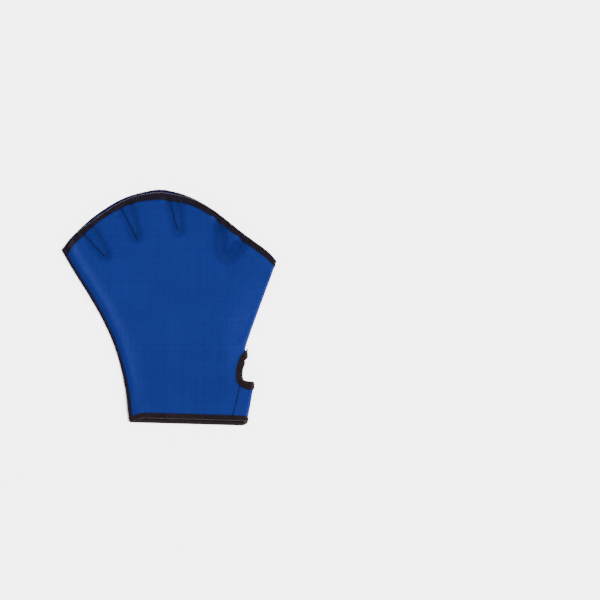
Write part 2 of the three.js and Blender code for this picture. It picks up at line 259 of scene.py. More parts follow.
@dataclass(frozen=True)
class SheetForm:
    """Where every point of the folded sheet lies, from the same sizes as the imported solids."""

    wrist_width: float = 92.9
    wrist_drop: float = 2.6
    seam_rise: float = 137.2
    seam_flare: float = 54.0
    fold_rise: float = 129.8
    fold_flare: float = 24.3
    web_rise: float = 52.1
    wrist_peek: float = 4.0
    wrist_peek_start: float = 0.15
    finger_peek: float = 2.4
    peek_from_seam: tuple[float, float] = (0.01, 0.17)
    peek_from_fold: float = 0.08
    peek_crowns: tuple[tuple[float, float, float], ...] = ((0.47, 0.12, 1.0), (0.21, 0.14, 1.05))
    peek_least: float = 0.1
    wall: float = 2.0
    fold_radius: float = 3.8
    seam_allowance: float = 4.5
    wrist_gap: float = 5.6
    palm_gap: float = 8.4
    finger_gap: float = 7.9
    sewn_gap: float = 0.3
    web_gap: float = 0.3
    rim_gap: float = 2.4
    seam_reach_at_wrist: float = 18.0
    seam_reach_at_fingers: float = 9.0
    fold_reach: float = 22.0
    web_reach: float = 7.0
    edge_lift: float = 1.5
    web_lift: float = 2.0
    curl_full: float = 7.0
    curl_end: float = 18.0
    web_start: float = 7.0
    web_full: float = 12.0
    stitch_half: float = 0.8
    stitch_dip: float = 0.58
    stitch_dip_width: float = 1.1
    strap_flap: float = 10.4
    strap_slant: float = 2.6
    strap_groove: float = 0.5
    strap_lip: float = 0.32
    strap_lip_away: float = 1.15
    strap_line_width: float = 0.7
    strap_fade: float = 5.0
    hole_length: float = 19.9
    hole_depth: float = 9.3
    hole_start: float = 34.7
    web_points: int = 19
    stitch_points: int = 60
    hole_points: int = 48
    origin: tuple[float, float] = (-30.603, -91.314)
    seam_shape: tuple[tuple[float, float], ...] = (
        (0, 0), (0.026, 0.079), (0.056, 0.184), (0.132, 0.324), (0.244, 0.464),
        (0.406, 0.604), (0.61, 0.745), (0.832, 0.885), (1, 1),
    )
    fold_shape: tuple[tuple[float, float], ...] = (
        (0, 0), (0.078, 0.062), (0.185, 0.173), (0.243, 0.254), (0.148, 0.334), (0.033, 0.405),
        (-0.012, 0.448), (0.021, 0.492), (0.342, 0.66), (0.64, 0.809), (0.93, 0.955), (1, 1),
    )
    finger_shape: tuple[tuple[float, float], ...] = (
        (0, 0), (0.08, 0.32), (0.169, 0.59), (0.282, 0.832), (0.394, 0.964), (0.476, 1),
        (0.587, 0.927), (0.7, 0.746), (0.841, 0.412), (0.953, 0.162), (1, 0),
    )
    hole_shape: tuple[tuple[float, float], ...] = (
        (0, 0), (0.35, 0.005), (0.613, 0.02), (0.85, 0.06), (0.96, 0.14), (1, 0.26), (0.99, 0.4),
        (0.957, 0.533), (0.88, 0.64), (0.806, 0.736), (0.731, 0.878), (0.548, 1),
    )
    lines: dict = field(default_factory=dict)

    def __post_init__(self) -> None:
        """Draws the outline's lines, the webs and their stitches once."""
        low_left = np.zeros(2)
        low_right = np.array([self.wrist_width, -self.wrist_drop])
        high_left = np.array([-self.seam_flare, self.seam_rise])
        high_right = np.array([self.wrist_width + self.fold_flare, self.fold_rise - self.wrist_drop])
        self.lines["corners"] = (low_left, low_right, high_left, high_right)
        self.lines["seam"] = self.side_line(low_left, high_left, self.seam_shape)
        self.lines["fold"] = self.side_line(low_right, high_right, self.fold_shape)
        shape = np.array(self.finger_shape)
        chord = high_left + shape[:, :1] * (high_right - high_left)
        self.lines["fingers"] = SmoothLine(chord + shape[:, 1:] * (0, self.web_rise))
        self.lines["webs"] = []
        self.lines["stitches"] = []
        for web in WEBS:
            half = np.linspace(web.half_at_rim, self.stitch_half, self.web_points)
            self.lines["webs"].append((self.drawn(web.path, self.web_points), half))
            for line, dip in zip(web.stitch_lines, web.dips):
                self.lines["stitches"].append((self.drawn(line, self.stitch_points), dip))

    @staticmethod
    def side_line(start: np.ndarray, end: np.ndarray, shape: tuple) -> SmoothLine:
        """A side of the outline, from its shares of the way out and up."""
        return SmoothLine(start + np.array(shape) * (end - start))

    def drawn(self, shares: tuple, count: int) -> np.ndarray:
        """Places of a smooth line through [across, along] shares."""
        return self.place(*SmoothLine(shares).at_parameter(np.linspace(0, 1, count)).T)

    def place_within(self, across: np.ndarray, along: np.ndarray) -> np.ndarray:
        """The place seen from above, for across and along from 0 to 1.

        Args:
            across: Shares of the way from seam to fold.
            along: Shares of the way from wrist to fingers.

        Returns:
            Places in the plane, in the sheet's own axes.
        """
        across, along = np.broadcast_arrays(np.asarray(across, float), np.asarray(along, float))
        low_left, low_right, high_left, high_right = self.lines["corners"]
        side, up = across[..., None], along[..., None]
        wrist = low_left + side * (low_right - low_left)
        chord = high_left + side * (high_right - high_left)
        rows = wrist + up * (self.lines["fingers"].at(across) - wrist)
        seam, fold = self.lines["seam"].at(along), self.lines["fold"].at(along)
        columns = seam + side * (fold - seam)
        return rows + columns - (wrist + up * (chord - wrist))

    def column_length(self, across: np.ndarray) -> np.ndarray:
        """Straight length from the wrist to the finger edge."""
        return np.linalg.norm(self.place_within(across, 1.0) - self.place_within(across, 0.0), axis=-1)

    def row_width(self, along: np.ndarray) -> np.ndarray:
        """Straight width from the seam to the fold."""
        return np.linalg.norm(self.lines["seam"].at(along) - self.lines["fold"].at(along), axis=-1)

    def place(self, across: np.ndarray, along: np.ndarray) -> np.ndarray:
        """The place seen from above, carried straight on where along runs past a rim."""
        step = 0.02
        across, along = np.broadcast_arrays(np.asarray(across, float), np.asarray(along, float))
        inside = np.clip(along, 0, 1)
        at = self.place_within(across, inside)
        nearby = self.place_within(across, inside + np.where(along < 0, step, -step))
        past = np.abs(along - inside) * self.column_length(across)
        return at + normalised(at - nearby) * past[..., None]

    def shares_at(self, places: np.ndarray) -> tuple[np.ndarray, np.ndarray]:
        """The across and along shares of places in the plane.

        Args:
            places: Places in the sheet's own axes.

        Returns:
            The shares across and along.
        """
        across = np.clip(places[..., 0] / self.wrist_width, 0, 1)
        along = np.clip(places[..., 1] / self.seam_rise, 0, 1)
        tiny, margin, rounds = 1e-4, 0.1, 12
        for _ in range(rounds):
            here = self.place(across, along)
            by_across = (self.place(across + tiny, along) - here) / tiny
            by_along = (self.place(across, along + tiny) - here) / tiny
            miss = places - here
            area = by_across[..., 0] * by_along[..., 1] - by_across[..., 1] * by_along[..., 0]
            across = across + (miss[..., 0] * by_along[..., 1] - miss[..., 1] * by_along[..., 0]) / area
            along = along + (miss[..., 1] * by_across[..., 0] - miss[..., 0] * by_across[..., 1]) / area
            across, along = np.clip(across, -margin, 1 + margin), np.clip(along, -margin, 1 + margin)
        return across, along

    def web_freedom(self, places: np.ndarray) -> np.ndarray:
        """How free the layers are of the webs, from 0 on a web to 1 clear of them all."""
        free = np.ones(places.shape[:-1])
        for line, half in self.lines["webs"]:
            free = free * smooth_step(distance_to_line(places, line, half), 0, self.web_reach)
        return free

    def layer_gap(self, across: np.ndarray, along: np.ndarray, places: np.ndarray) -> np.ndarray:
        """Clear height between the two layers.

        Args:
            across: Shares of the way from seam to fold.
            along: Shares of the way from wrist to fingers.
            places: The same places in the plane.

        Returns:
            The gap at each place.
        """
        width = self.row_width(along)
        inside = np.clip(along, 0, 1)
        from_seam = across * width - self.seam_allowance
        from_fold = (1 - across) * width - self.fold_radius
        from_fingers = (1 - along) * self.column_length(across)
        seam_reach = self.seam_reach_at_wrist + inside * (
            self.seam_reach_at_fingers - self.seam_reach_at_wrist
        )
        ends = self.wrist_gap + inside * (self.finger_gap - self.wrist_gap)
        crest = ends + np.sin(math.pi * inside) * (self.palm_gap - ends)
        at_fold = 2 * (self.fold_radius - self.wall)
        full = at_fold + (crest - at_fold) * quarter_wave(from_fold, self.fold_reach)
        below_rim = smooth_step(from_fingers, self.web_start, self.web_full)
        over_web = self.rim_gap + (self.web_gap - self.rim_gap) * below_rim
        parted = over_web + (full - over_web) * self.web_freedom(places)
        return self.sewn_gap + (parted - self.sewn_gap) * quarter_wave(from_seam, seam_reach)

    def rest_height(self, across: np.ndarray, along: np.ndarray, places: np.ndarray) -> np.ndarray:
        """Height of the underside above the floor."""
        length = self.column_length(across)
        centre = self.hole_corner() + np.array([-self.hole_depth / 2, self.hole_length / 2])
        from_hole = np.linalg.norm(places - centre, axis=-1) - self.hole_length / 2
        from_rims = np.minimum(along, 1 - along) * length
        from_edge = np.minimum(np.minimum(from_rims, across * self.row_width(along)), from_hole)
        curl = self.edge_lift * (1 - smooth_step(from_edge, self.curl_full, self.curl_end))
        return np.maximum(curl, self.web_lift * (1 - self.web_freedom(places)))

    def heights(
        self, across: np.ndarray, along: np.ndarray, places: np.ndarray
    ) -> tuple[np.ndarray, np.ndarray]:
        """The gap between the layers, and the height of its middle above the floor."""
        gap = self.layer_gap(across, along, places)
        return gap, self.rest_height(across, along, places) + self.wall + gap / 2

    def towards_fold(self, places: np.ndarray, along: np.ndarray) -> np.ndarray:
        """The direction along its row from each place out through the fold."""
        return normalised(self.place(np.ones_like(along), along) - places)

    def stitch_dips(self, places: np.ndarray) -> np.ndarray:
        """How far the outer faces are drawn in by the webs' stitches."""
        deepest = np.zeros(places.shape[:-1])
        for line, dip in self.lines["stitches"]:
            away = distance_to_line(places, line, np.zeros(len(line)))
            deepest = np.maximum(deepest, dip * self.stitch_dip * bell(away, 0.0, self.stitch_dip_width))
        return deepest

    def flap(self, along: np.ndarray) -> np.ndarray:
        """From the fold to the strap's seam, which lies further in towards the wrist."""
        below_hole = 1 - along * self.lines["fold"].length / self.hole_start
        return self.strap_flap + self.strap_slant * np.clip(below_hole, 0, 1)

    def strap_relief(self, across: np.ndarray, along: np.ndarray) -> np.ndarray:
        """How far the front face stands out beside the strap's seam, and sinks in along it."""
        length = self.lines["fold"].length
        away = (1 - across) * self.row_width(along) - self.flap(along)
        lips = self.strap_lip * bell(np.abs(away), self.strap_lip_away, self.strap_line_width)
        groove = self.strap_groove * bell(away, 0.0, self.strap_line_width)
        inside = smooth_step(self.hole_start + 1 - along * length, 0.0, self.strap_fade)
        return (lips - groove) * inside

    def peeks(self, across: np.ndarray) -> tuple[np.ndarray, np.ndarray]:
        """How much shorter than the back layer the front one is, at the wrist and the fingers."""
        wrist = self.wrist_peek * quarter_wave(across, self.wrist_peek_start)
        ends = smooth_step(across, *self.peek_from_seam) * quarter_wave(1 - across, self.peek_from_fold)
        crown = sum(height * bell(across, centre, width) for centre, width, height in self.peek_crowns)
        return wrist, self.finger_peek * ends * (crown + self.peek_least)

    def along_at(
        self, across: np.ndarray, row: np.ndarray, shift: np.ndarray, turn: np.ndarray
    ) -> np.ndarray:
        """How far along a row lies.

        Args:
            across: Shares of the way from seam to fold.
            row: Shares of the way from rim to rim.
            shift: Millimetres that the row is moved towards the fingers.
            turn: Angle that the layer faces, a quarter turn on the front and minus that on the back.

        Returns:
            Shares of the way from the back layer's wrist to its finger edge.
        """
        front = (1 + np.sin(turn)) / 2
        length = self.column_length(across)
        wrist_peek, finger_peek = self.peeks(across)
        low = front * wrist_peek / length
        high = 1 - front * finger_peek / length
        return low + row * (high - low) + shift / length

    def point(
        self, share: np.ndarray, turn: np.ndarray, row: np.ndarray, shift: np.ndarray, height: np.ndarray
    ) -> np.ndarray:
        """A point of the sheet, or over or under it.

        Args:
            share: Shares of the way from seam to fold, on the layer that the turn faces.
            turn: Angle that the sheet faces: a quarter turn on the front layer, minus that on the back.
            row: Shares of the way from rim to rim.
            shift: Millimetres that the row is moved towards the fingers.
            height: Millimetres out from the middle of the sheet's thickness.

        Returns:
            Points in the row frame, in millimetres.
        """
        share, turn, row, shift, height = np.broadcast_arrays(
            *(np.asarray(value, float) for value in (share, turn, row, shift, height))
        )
        near_width = self.row_width(row)
        along = self.along_at(share * (near_width - self.fold_radius) / near_width, row, shift, turn)
        width = self.row_width(along)
        across = share * (width - self.fold_radius) / width
        at = self.place(across, along)
        gap, middle = self.heights(across, along, at)
        dip = np.where(height > 0, self.stitch_dips(at), 0)
        faces_front = turn >= QUARTER
        relief = np.where((height > 0) & faces_front, self.strap_relief(across, along), 0)
        reach = gap / 2 + self.wall / 2 + height - dip + relief
        sideways = np.where(share >= 1, reach * np.cos(turn), 0)
        at = at + self.towards_fold(at, along) * sideways[..., None] + np.array(self.origin)
        return np.concatenate([at, (middle + reach * np.sin(turn))[..., None]], axis=-1)

    def over(self, places: np.ndarray, layer: Layer, height: float) -> np.ndarray:
        """Points over places in the plane, on one layer.

        Args:
            places: Places in the sheet's own axes.
            layer: The layer.
            height: Millimetres out from the middle of the layer's thickness.

        Returns:
            Points in the row frame, in millimetres.
        """
        across, along = self.shares_at(places)
        gap, middle = self.heights(across, along, places)
        dip = self.stitch_dips(places) if height > 0 else 0
        level = middle + layer.value * (gap / 2 + self.wall / 2 + height - dip)
        return np.concatenate([places + np.array(self.origin), level[..., None]], axis=-1)

    def hole_corner(self) -> np.ndarray:
        """Where the thumb hole's edge leaves the fold at the strap, in the plane."""
        return self.lines["fold"].at(self.hole_start / self.lines["fold"].length)

    def hole_outline(self) -> np.ndarray:
        """The thumb hole's edge in the plane, from the strap up to the fold above the hole."""
        knots = self.hole_corner() + np.array(self.hole_shape) * (-self.hole_depth, self.hole_length)
        return SmoothLine(knots).at(np.linspace(0, 1, self.hole_points))


@dataclass(frozen=True)
class Stations:
    """The way round the flat tube: over the front layer, round the fold and back along the back."""

    share: np.ndarray
    turn: np.ndarray

    @classmethod
    def around(cls, columns: np.ndarray, fold_steps: int) -> "Stations":
        """Stations at these columns of both layers.

        Args:
            columns: Shares from seam to fold.
            fold_steps: Steps round the fold.

        Returns:
            The stations in order.
        """
        turns = np.linspace(QUARTER, -QUARTER, fold_steps + 1)[1:-1]
        share = np.concatenate([columns, np.ones(len(turns)), columns[::-1]])
        turn = np.concatenate([np.full(len(columns), QUARTER), turns, np.full(len(columns), -QUARTER)])
        return cls(share, turn)


def spaced_by(density: tuple[tuple[float, float], ...], count: int) -> np.ndarray:
    """Shares from 0 to 1 that lie closer where the density is higher.

    Args:
        density: (share, density) pairs.
        count: How many steps to make.

    Returns:
        count + 1 shares in order.
    """
    samples = 2001
    fine = np.linspace(0, 1, samples)
    at, amount = zip(*density)
    sums = np.concatenate([[0], np.cumsum(np.interp((fine[1:] + fine[:-1]) / 2, at, amount))])
    return np.interp(np.linspace(0, sums[-1], count + 1), sums, fine)


class MeshMaker:
    """Turns grids of points into closed meshes, with lengths along and across as UVs."""

    @staticmethod
    def mesh_object(
        name: str, points: np.ndarray, faces: list[tuple[int, ...]], uvs: np.ndarray | None = None
    ) -> bpy.types.Object:
        """A mesh object at the origin.

        Args:
            name: The object's name.
            points: Its vertices in millimetres.
            faces: Its faces as indices.
            uvs: A UV in metres for each vertex.

        Returns:
            The object, linked into the scene.
        """
        mesh = bpy.data.meshes.new(name)
        mesh.from_pydata((points.reshape(-1, 3) * MM).tolist(), [], faces)
        mesh.update()
        if uvs is not None:
            layer = mesh.uv_layers.new(name="flat")
            corner = np.zeros(len(mesh.loops), int)
            mesh.loops.foreach_get("vertex_index", corner)
            layer.data.foreach_set("uv", (uvs.reshape(-1, 2)[corner] * MM).astype(np.float32).ravel())
        return linked(name, mesh)

    @staticmethod
    def smooth(thing: bpy.types.Object, sharp_degrees: float = 42.0, outwards: bool = True) -> None:
        """Shades a mesh smooth apart from its sharp edges.

        Args:
            thing: The mesh object.
            sharp_degrees: Edges that turn more than this stay sharp.
            outwards: Whether the faces are turned outwards first.
        """
        work = bmesh.new()
        work.from_mesh(thing.data)
        if outwards:
            bmesh.ops.recalc_face_normals(work, faces=work.faces)
        for face in work.faces:
            face.smooth = True
        sharp = math.radians(sharp_degrees)
        for edge in work.edges:
            edge.smooth = len(edge.link_faces) == 2 and edge.calc_face_angle(0) < sharp
        work.to_mesh(thing.data)
        work.free()

    @classmethod
    def swept(cls, name: str, rings: np.ndarray, closed: bool) -> bpy.types.Object:
        """A solid swept through rings of points.

        Args:
            name: The object's name.
            rings: Points in millimetres, one ring of a closed section for each station.
            closed: Whether the last ring joins the first, or both ends are capped.

        Returns:
            The object.
        """
        count, size = rings.shape[:2]
        faces = []
        for here in range(count if closed else count - 1):
            low, high = here * size, (here + 1) % count * size
            faces += [(low + j, low + (j + 1) % size, high + (j + 1) % size, high + j) for j in range(size)]
        if not closed:
            faces += [tuple(range(size))[::-1], tuple((count - 1) * size + j for j in range(size))]
        along = walked_lengths(rings.mean(axis=1))
        around = np.linalg.norm(np.diff(rings, axis=1), axis=2).mean(axis=0)
        across = np.concatenate([[0], np.cumsum(around)])
        uvs = np.stack(np.meshgrid(along, across, indexing="ij"), axis=-1)
        thing = cls.mesh_object(name, rings, faces, uvs)
        cls.smooth(thing)
        return thing


@dataclass(frozen=True)
class StitchSizes:
    """A row of single stitches. Lengths are in millimetres."""

    pitch: float
    length: float
    rise: float
    thread_radius: float
    slant: float = 0.0


@dataclass(frozen=True)
class OverlockSizes:
    """A row of overlock threads. Lengths are in millimetres, and the bulge is a share of the half."""

    pitch: float
    reach: float
    reach_below: float
    half: float
    bulge_share: float
    slant: float
    thread_radius: float

    def over(self, half: float) -> "OverlockSizes":
        """The same row with this much more half thickness inside it."""
        return replace(self, half=self.half + half)


class NodeMaker:
    """Adds nodes to a tree, and links or sets their inputs."""

    def __init__(self, tree: bpy.types.NodeTree) -> None:
        """Takes the tree that the nodes go into."""
        self.tree = tree

    def add(self, kind: str, links: dict | None = None, **settings: object) -> bpy.types.Node:
        """Adds a node.

        Args:
            kind: The node's type.
            links: Sockets or plain values for its inputs, by name or place.
            settings: Properties of the node, which are set first.

        Returns:
            The node.
        """
        node = self.tree.nodes.new(kind)
        for key, value in settings.items():
            setattr(node, key, value)
        for key, value in (links or {}).items():
            self.put(node.inputs[key], value)
        return node

    def put(self, socket: bpy.types.NodeSocket, value: object) -> None:
        """Links a socket, or sets its value."""
        if isinstance(value, bpy.types.NodeSocket):
            self.tree.links.new(value, socket)
        else:
            socket.default_value = value

    def math(
        self, operation: str, first: object, second: object = 0.0, third: object = 0.0
    ) -> bpy.types.NodeSocket:
        """The result of a sum on values or sockets."""
        links = {0: first, 1: second, 2: third}
        return self.add("ShaderNodeMath", links, operation=operation).outputs[0]


class ThreadTree(NodeMaker):
    """A Geometry Nodes tree that lays threads along a path, with an input for each size."""

    def __init__(self, name: str, sizes: type) -> None:
        """Makes an empty tree.

        Args:
            name: The tree's name.
            sizes: The class whose fields are its inputs.
        """
        super().__init__(bpy.data.node_groups.new(name, "GeometryNodeTree"))
        sockets = [("Path", "INPUT", "NodeSocketGeometry")]
        sockets += [(size.name, "INPUT", "NodeSocketFloat") for size in fields(sizes)]
        sockets += [("Finish", "INPUT", "NodeSocketMaterial"), ("Thread", "OUTPUT", "NodeSocketGeometry")]
        for label, side, kind in sockets:
            self.tree.interface.new_socket(label, in_out=side, socket_type=kind)
        self.input = self.tree.nodes.new("NodeGroupInput")

    def size(self, label: str) -> bpy.types.NodeSocket:
        """A named input's socket."""
        return self.input.outputs[label]

    def minus(self, value: object) -> bpy.types.NodeSocket:
        """A value or socket with its sign turned."""
        return self.math("MULTIPLY", value, -1.0)

    def place(self, x: object = 0.0, y: object = 0.0, z: object = 0.0) -> bpy.types.NodeSocket:
        """A vector of three values or sockets."""
        return self.add("ShaderNodeCombineXYZ", {0: x, 1: y, 2: z}).outputs[0]

    def thread(self, curve: bpy.types.NodeSocket, sides: int) -> bpy.types.NodeSocket:
        """A round thread along a curve, as thick as the input thread_radius says."""
        radius = self.size("thread_radius")
        circle = self.add("GeometryNodeCurvePrimitiveCircle", {"Resolution": sides, "Radius": radius})
        links = {"Curve": curve, "Profile Curve": circle.outputs[0], "Fill Caps": True}
        return self.add("GeometryNodeCurveToMesh", links).outputs[0]

    def finish(self, one: bpy.types.NodeSocket) -> bpy.types.NodeTree:
        """Repeats one thread along the path, facing as its "up" attribute says.

        Args:
            one: The thread to repeat, with X along the path and Z up.

        Returns:
            The whole tree.
        """
        line = self.add("GeometryNodeMeshToCurve", {0: self.size("Path")})
        links = {"Curve": line.outputs[0], "Length": self.size("pitch")}
        points = self.add("GeometryNodeCurveToPoints", links, mode="LENGTH")
        up = self.add("GeometryNodeInputNamedAttribute", {"Name": "up"}, data_type="FLOAT_VECTOR")
        forward = self.add(
            "FunctionNodeAlignRotationToVector", {"Vector": points.outputs["Tangent"]}, axis="X"
        )
        links = {"Rotation": forward.outputs[0], "Vector": up.outputs["Attribute"]}
        upright = self.add("FunctionNodeAlignRotationToVector", links, axis="Z", pivot_axis="X")
        spread = self.add("GeometryNodeInputNamedAttribute", {"Name": "spread"}, data_type="FLOAT")
        links = {
            "Points": points.outputs["Points"],
            "Instance": one,
            "Rotation": upright.outputs[0],
            "Scale": self.place(1.0, spread.outputs["Attribute"], 1.0),
        }
        copies = self.add("GeometryNodeInstanceOnPoints", links)
        real = self.add("GeometryNodeRealizeInstances", {0: copies.outputs[0]})
        smooth = self.add("GeometryNodeSetShadeSmooth", {"Geometry": real.outputs[0]})
        links = {"Geometry": smooth.outputs[0], "Material": self.size("Finish")}
        dressed = self.add("GeometryNodeSetMaterial", links)
        self.tree.links.new(dressed.outputs[0], self.tree.nodes.new("NodeGroupOutput").inputs[0])
        return self.tree


def stitch_tree() -> bpy.types.NodeTree:
    """A row of single stitches, each a low arch of thread along the path."""
    nodes = ThreadTree("stitch_row", StitchSizes)
    half = nodes.math("MULTIPLY", nodes.size("length"), 0.5)
    side, sunk = nodes.size("slant"), nodes.minus(nodes.size("thread_radius"))
    links = {
        "Resolution": 5,
        "Start": nodes.place(nodes.minus(half), side, sunk),
        "Middle": nodes.place(z=nodes.math("MULTIPLY", nodes.size("rise"), 2.0)),
        "End": nodes.place(half, nodes.minus(side), sunk),
    }
    arch = nodes.add("GeometryNodeCurveQuadraticBezier", links)
    return nodes.finish(nodes.thread(arch.outputs[0], sides=6))


def overlock_tree() -> bpy.types.NodeTree:
    """Overlock threads: each goes in over one face, round the edge and in over the other face."""
    nodes = ThreadTree("overlock", OverlockSizes)
    slant, half = nodes.size("slant"), nodes.size("half")
    low = nodes.minus(half)
    above = nodes.place(slant, nodes.minus(nodes.size("reach")), half)
    below = nodes.place(slant, nodes.minus(nodes.size("reach_below")), low)
    upper = nodes.add("GeometryNodeCurvePrimitiveLine", {"Start": above, "End": nodes.place(z=half)})
    lower = nodes.add("GeometryNodeCurvePrimitiveLine", {"Start": nodes.place(z=low), "End": below})
    links = {"Resolution": 5, "Radius": half, "Start Angle": -QUARTER, "Sweep Angle": math.pi}
    arc = nodes.add("GeometryNodeCurveArc", links)
    links = {
        "Geometry": arc.outputs[0],
        "Rotation": (QUARTER, 0.0, QUARTER),
        "Scale": nodes.place(nodes.size("bulge_share"), 1.0, 1.0),
    }
    turned = nodes.add("GeometryNodeTransform", links)
    loop = nodes.add("GeometryNodeJoinGeometry")
    for part in (upper, turned, lower):
        nodes.tree.links.new(part.outputs[0], loop.inputs[0])
    return nodes.finish(nodes.thread(loop.outputs[0], sides=5))


@dataclass(frozen=True)
class Dressing:
    """What a piece wears: its finish and material slot, and the solid that it stands for."""

    finish: bpy.types.Material
    slot: str
    node: str

    def put_on(self, thing: bpy.types.Object) -> bpy.types.Object:
        """Gives a piece its finish and body, and hides the solid that it stands for."""
        thing.data.materials.clear()
        thing.data.materials.append(self.finish)
        for face in thing.data.polygons:
            face.material_index = 0
        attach(thing, BODY)
        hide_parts(self.node)
        LOG.info("%s: %d faces", thing.name, len(thing.data.polygons))
        return thing


class Sewing:
    """Lays threads along paths with a Geometry Nodes tree, and turns them into plain meshes."""

    def __init__(self) -> None:
        """Builds the trees once."""
        self.trees = {StitchSizes: stitch_tree(), OverlockSizes: overlock_tree()}

    def along(
        self,
        name: str,
        paths: list[tuple[np.ndarray, np.ndarray]],
        sizes: StitchSizes | OverlockSizes,
        dressing: Dressing,
        spread: np.ndarray | float = 1.0,
    ) -> bpy.types.Object:
        """Threads along paths.

        Args:
            name: The name of the piece.
            paths: (points in millimetres, upward directions) for each path.
            sizes: The thread's sizes, which choose the tree too.
            dressing: What the piece wears.
            spread: How much wider than its sizes a thread is at each point of the paths.

        Returns:
            The threads as one dressed mesh object.
        """
        points = np.concatenate([path for path, _ in paths])
        ups = np.concatenate([up for _, up in paths])
        edges, start = [], 0
        for path, _ in paths:
            edges += [(start + i, start + i + 1) for i in range(len(path) - 1)]
            start += len(path)
        guide = bpy.data.meshes.new(name + "_path")
        guide.from_pydata((points * MM).tolist(), edges, [])
        attribute = guide.attributes.new("up", "FLOAT_VECTOR", "POINT")
        attribute.data.foreach_set("vector", ups.astype(np.float32).ravel())
        spreads = np.ascontiguousarray(np.broadcast_to(np.asarray(spread, np.float32), len(points)))
        guide.attributes.new("spread", "FLOAT", "POINT").data.foreach_set("value", spreads)
        path_object = linked(name + "_path", guide)
        modifier = path_object.modifiers.new("threads", "NODES")
        modifier.node_group = self.trees[type(sizes)]
        values = {size.name: getattr(sizes, size.name) for size in fields(sizes)}
        for item in modifier.node_group.interface.items_tree:
            if item.name in values:
                scale = 1.0 if item.name == "bulge_share" else MM
                modifier[item.identifier] = values[item.name] * scale
            if item.name == "Finish":
                modifier[item.identifier] = dressing.finish
        mesh = evaluated_mesh(path_object)
        path_object.modifiers.clear()
        bpy.data.objects.remove(path_object)
        bpy.data.meshes.remove(guide)
        mesh.name = name
        return dressing.put_on(linked(name, mesh))


class Shader(NodeMaker):
    """A Principled material being built from procedural nodes."""

    def __init__(self, name: str) -> None:
        """Makes the material under that name."""
        self.material = bpy.data.materials.new(name)
        self.material.use_nodes = True
        super().__init__(self.material.node_tree)

    def finished(self, values: dict[str, object]) -> bpy.types.Material:
        """Links or sets the Principled node's inputs, and gives the material."""
        principled = self.tree.nodes["Principled BSDF"]
        for name, value in values.items():
            self.put(principled.inputs[name], value)
        return self.material

    def places(self) -> bpy.types.NodeSocket:
        """The object's own coordinates, in metres."""
        return self.add("ShaderNodeTexCoord").outputs["Object"]

    def flat_places(self) -> bpy.types.NodeSocket:
        """The places on the flat cloth or tape, in metres."""
        return self.add("ShaderNodeUVMap", uv_map="flat").outputs[0]

    def wave(self, value: object, length: float) -> bpy.types.NodeSocket:
        """A sine of that length over a value."""
        return self.math("SINE", self.math("MULTIPLY", value, 2 * math.pi / length))

    def noise(self, vector: object, scale: float, detail: float = 2.0, roughness: float = 0.5) -> object:
        """Noise over a vector."""
        links = {"Vector": vector, "Scale": scale, "Detail": detail, "Roughness": roughness}
        return self.add("ShaderNodeTexNoise", links).outputs[0]

    def stretched(self, vector: object, scale: tuple[float, float, float]) -> object:
        """A vector with each part scaled."""
        return self.add("ShaderNodeMapping", {"Vector": vector, "Scale": scale}).outputs[0]

    def mix(self, factor: object, first: tuple | object, second: tuple | object) -> object:
        """A colour between two."""
        return self.add("ShaderNodeMix", {0: factor, 6: first, 7: second}, data_type="RGBA").outputs[2]

    def spread(self, value: object, low: float, high: float, to_low: float, to_high: float) -> object:
        """A value carried from one range to another."""
        links = {0: value, 1: low, 2: high, 3: to_low, 4: to_high}
        return self.add("ShaderNodeMapRange", links).outputs[0]

    def bump(self, height: object, depth: float, before: object | None = None) -> object:
        """A bump of that depth in metres."""
        links = {"Height": height, "Distance": depth, "Strength": 1.0}
        if before is not None:
            links["Normal"] = before
        return self.add("ShaderNodeBump", links).outputs[0]


DULL = {"Sheen Weight": 0.02, "Sheen Roughness": 0.4, "Specular IOR Level": 0.1}


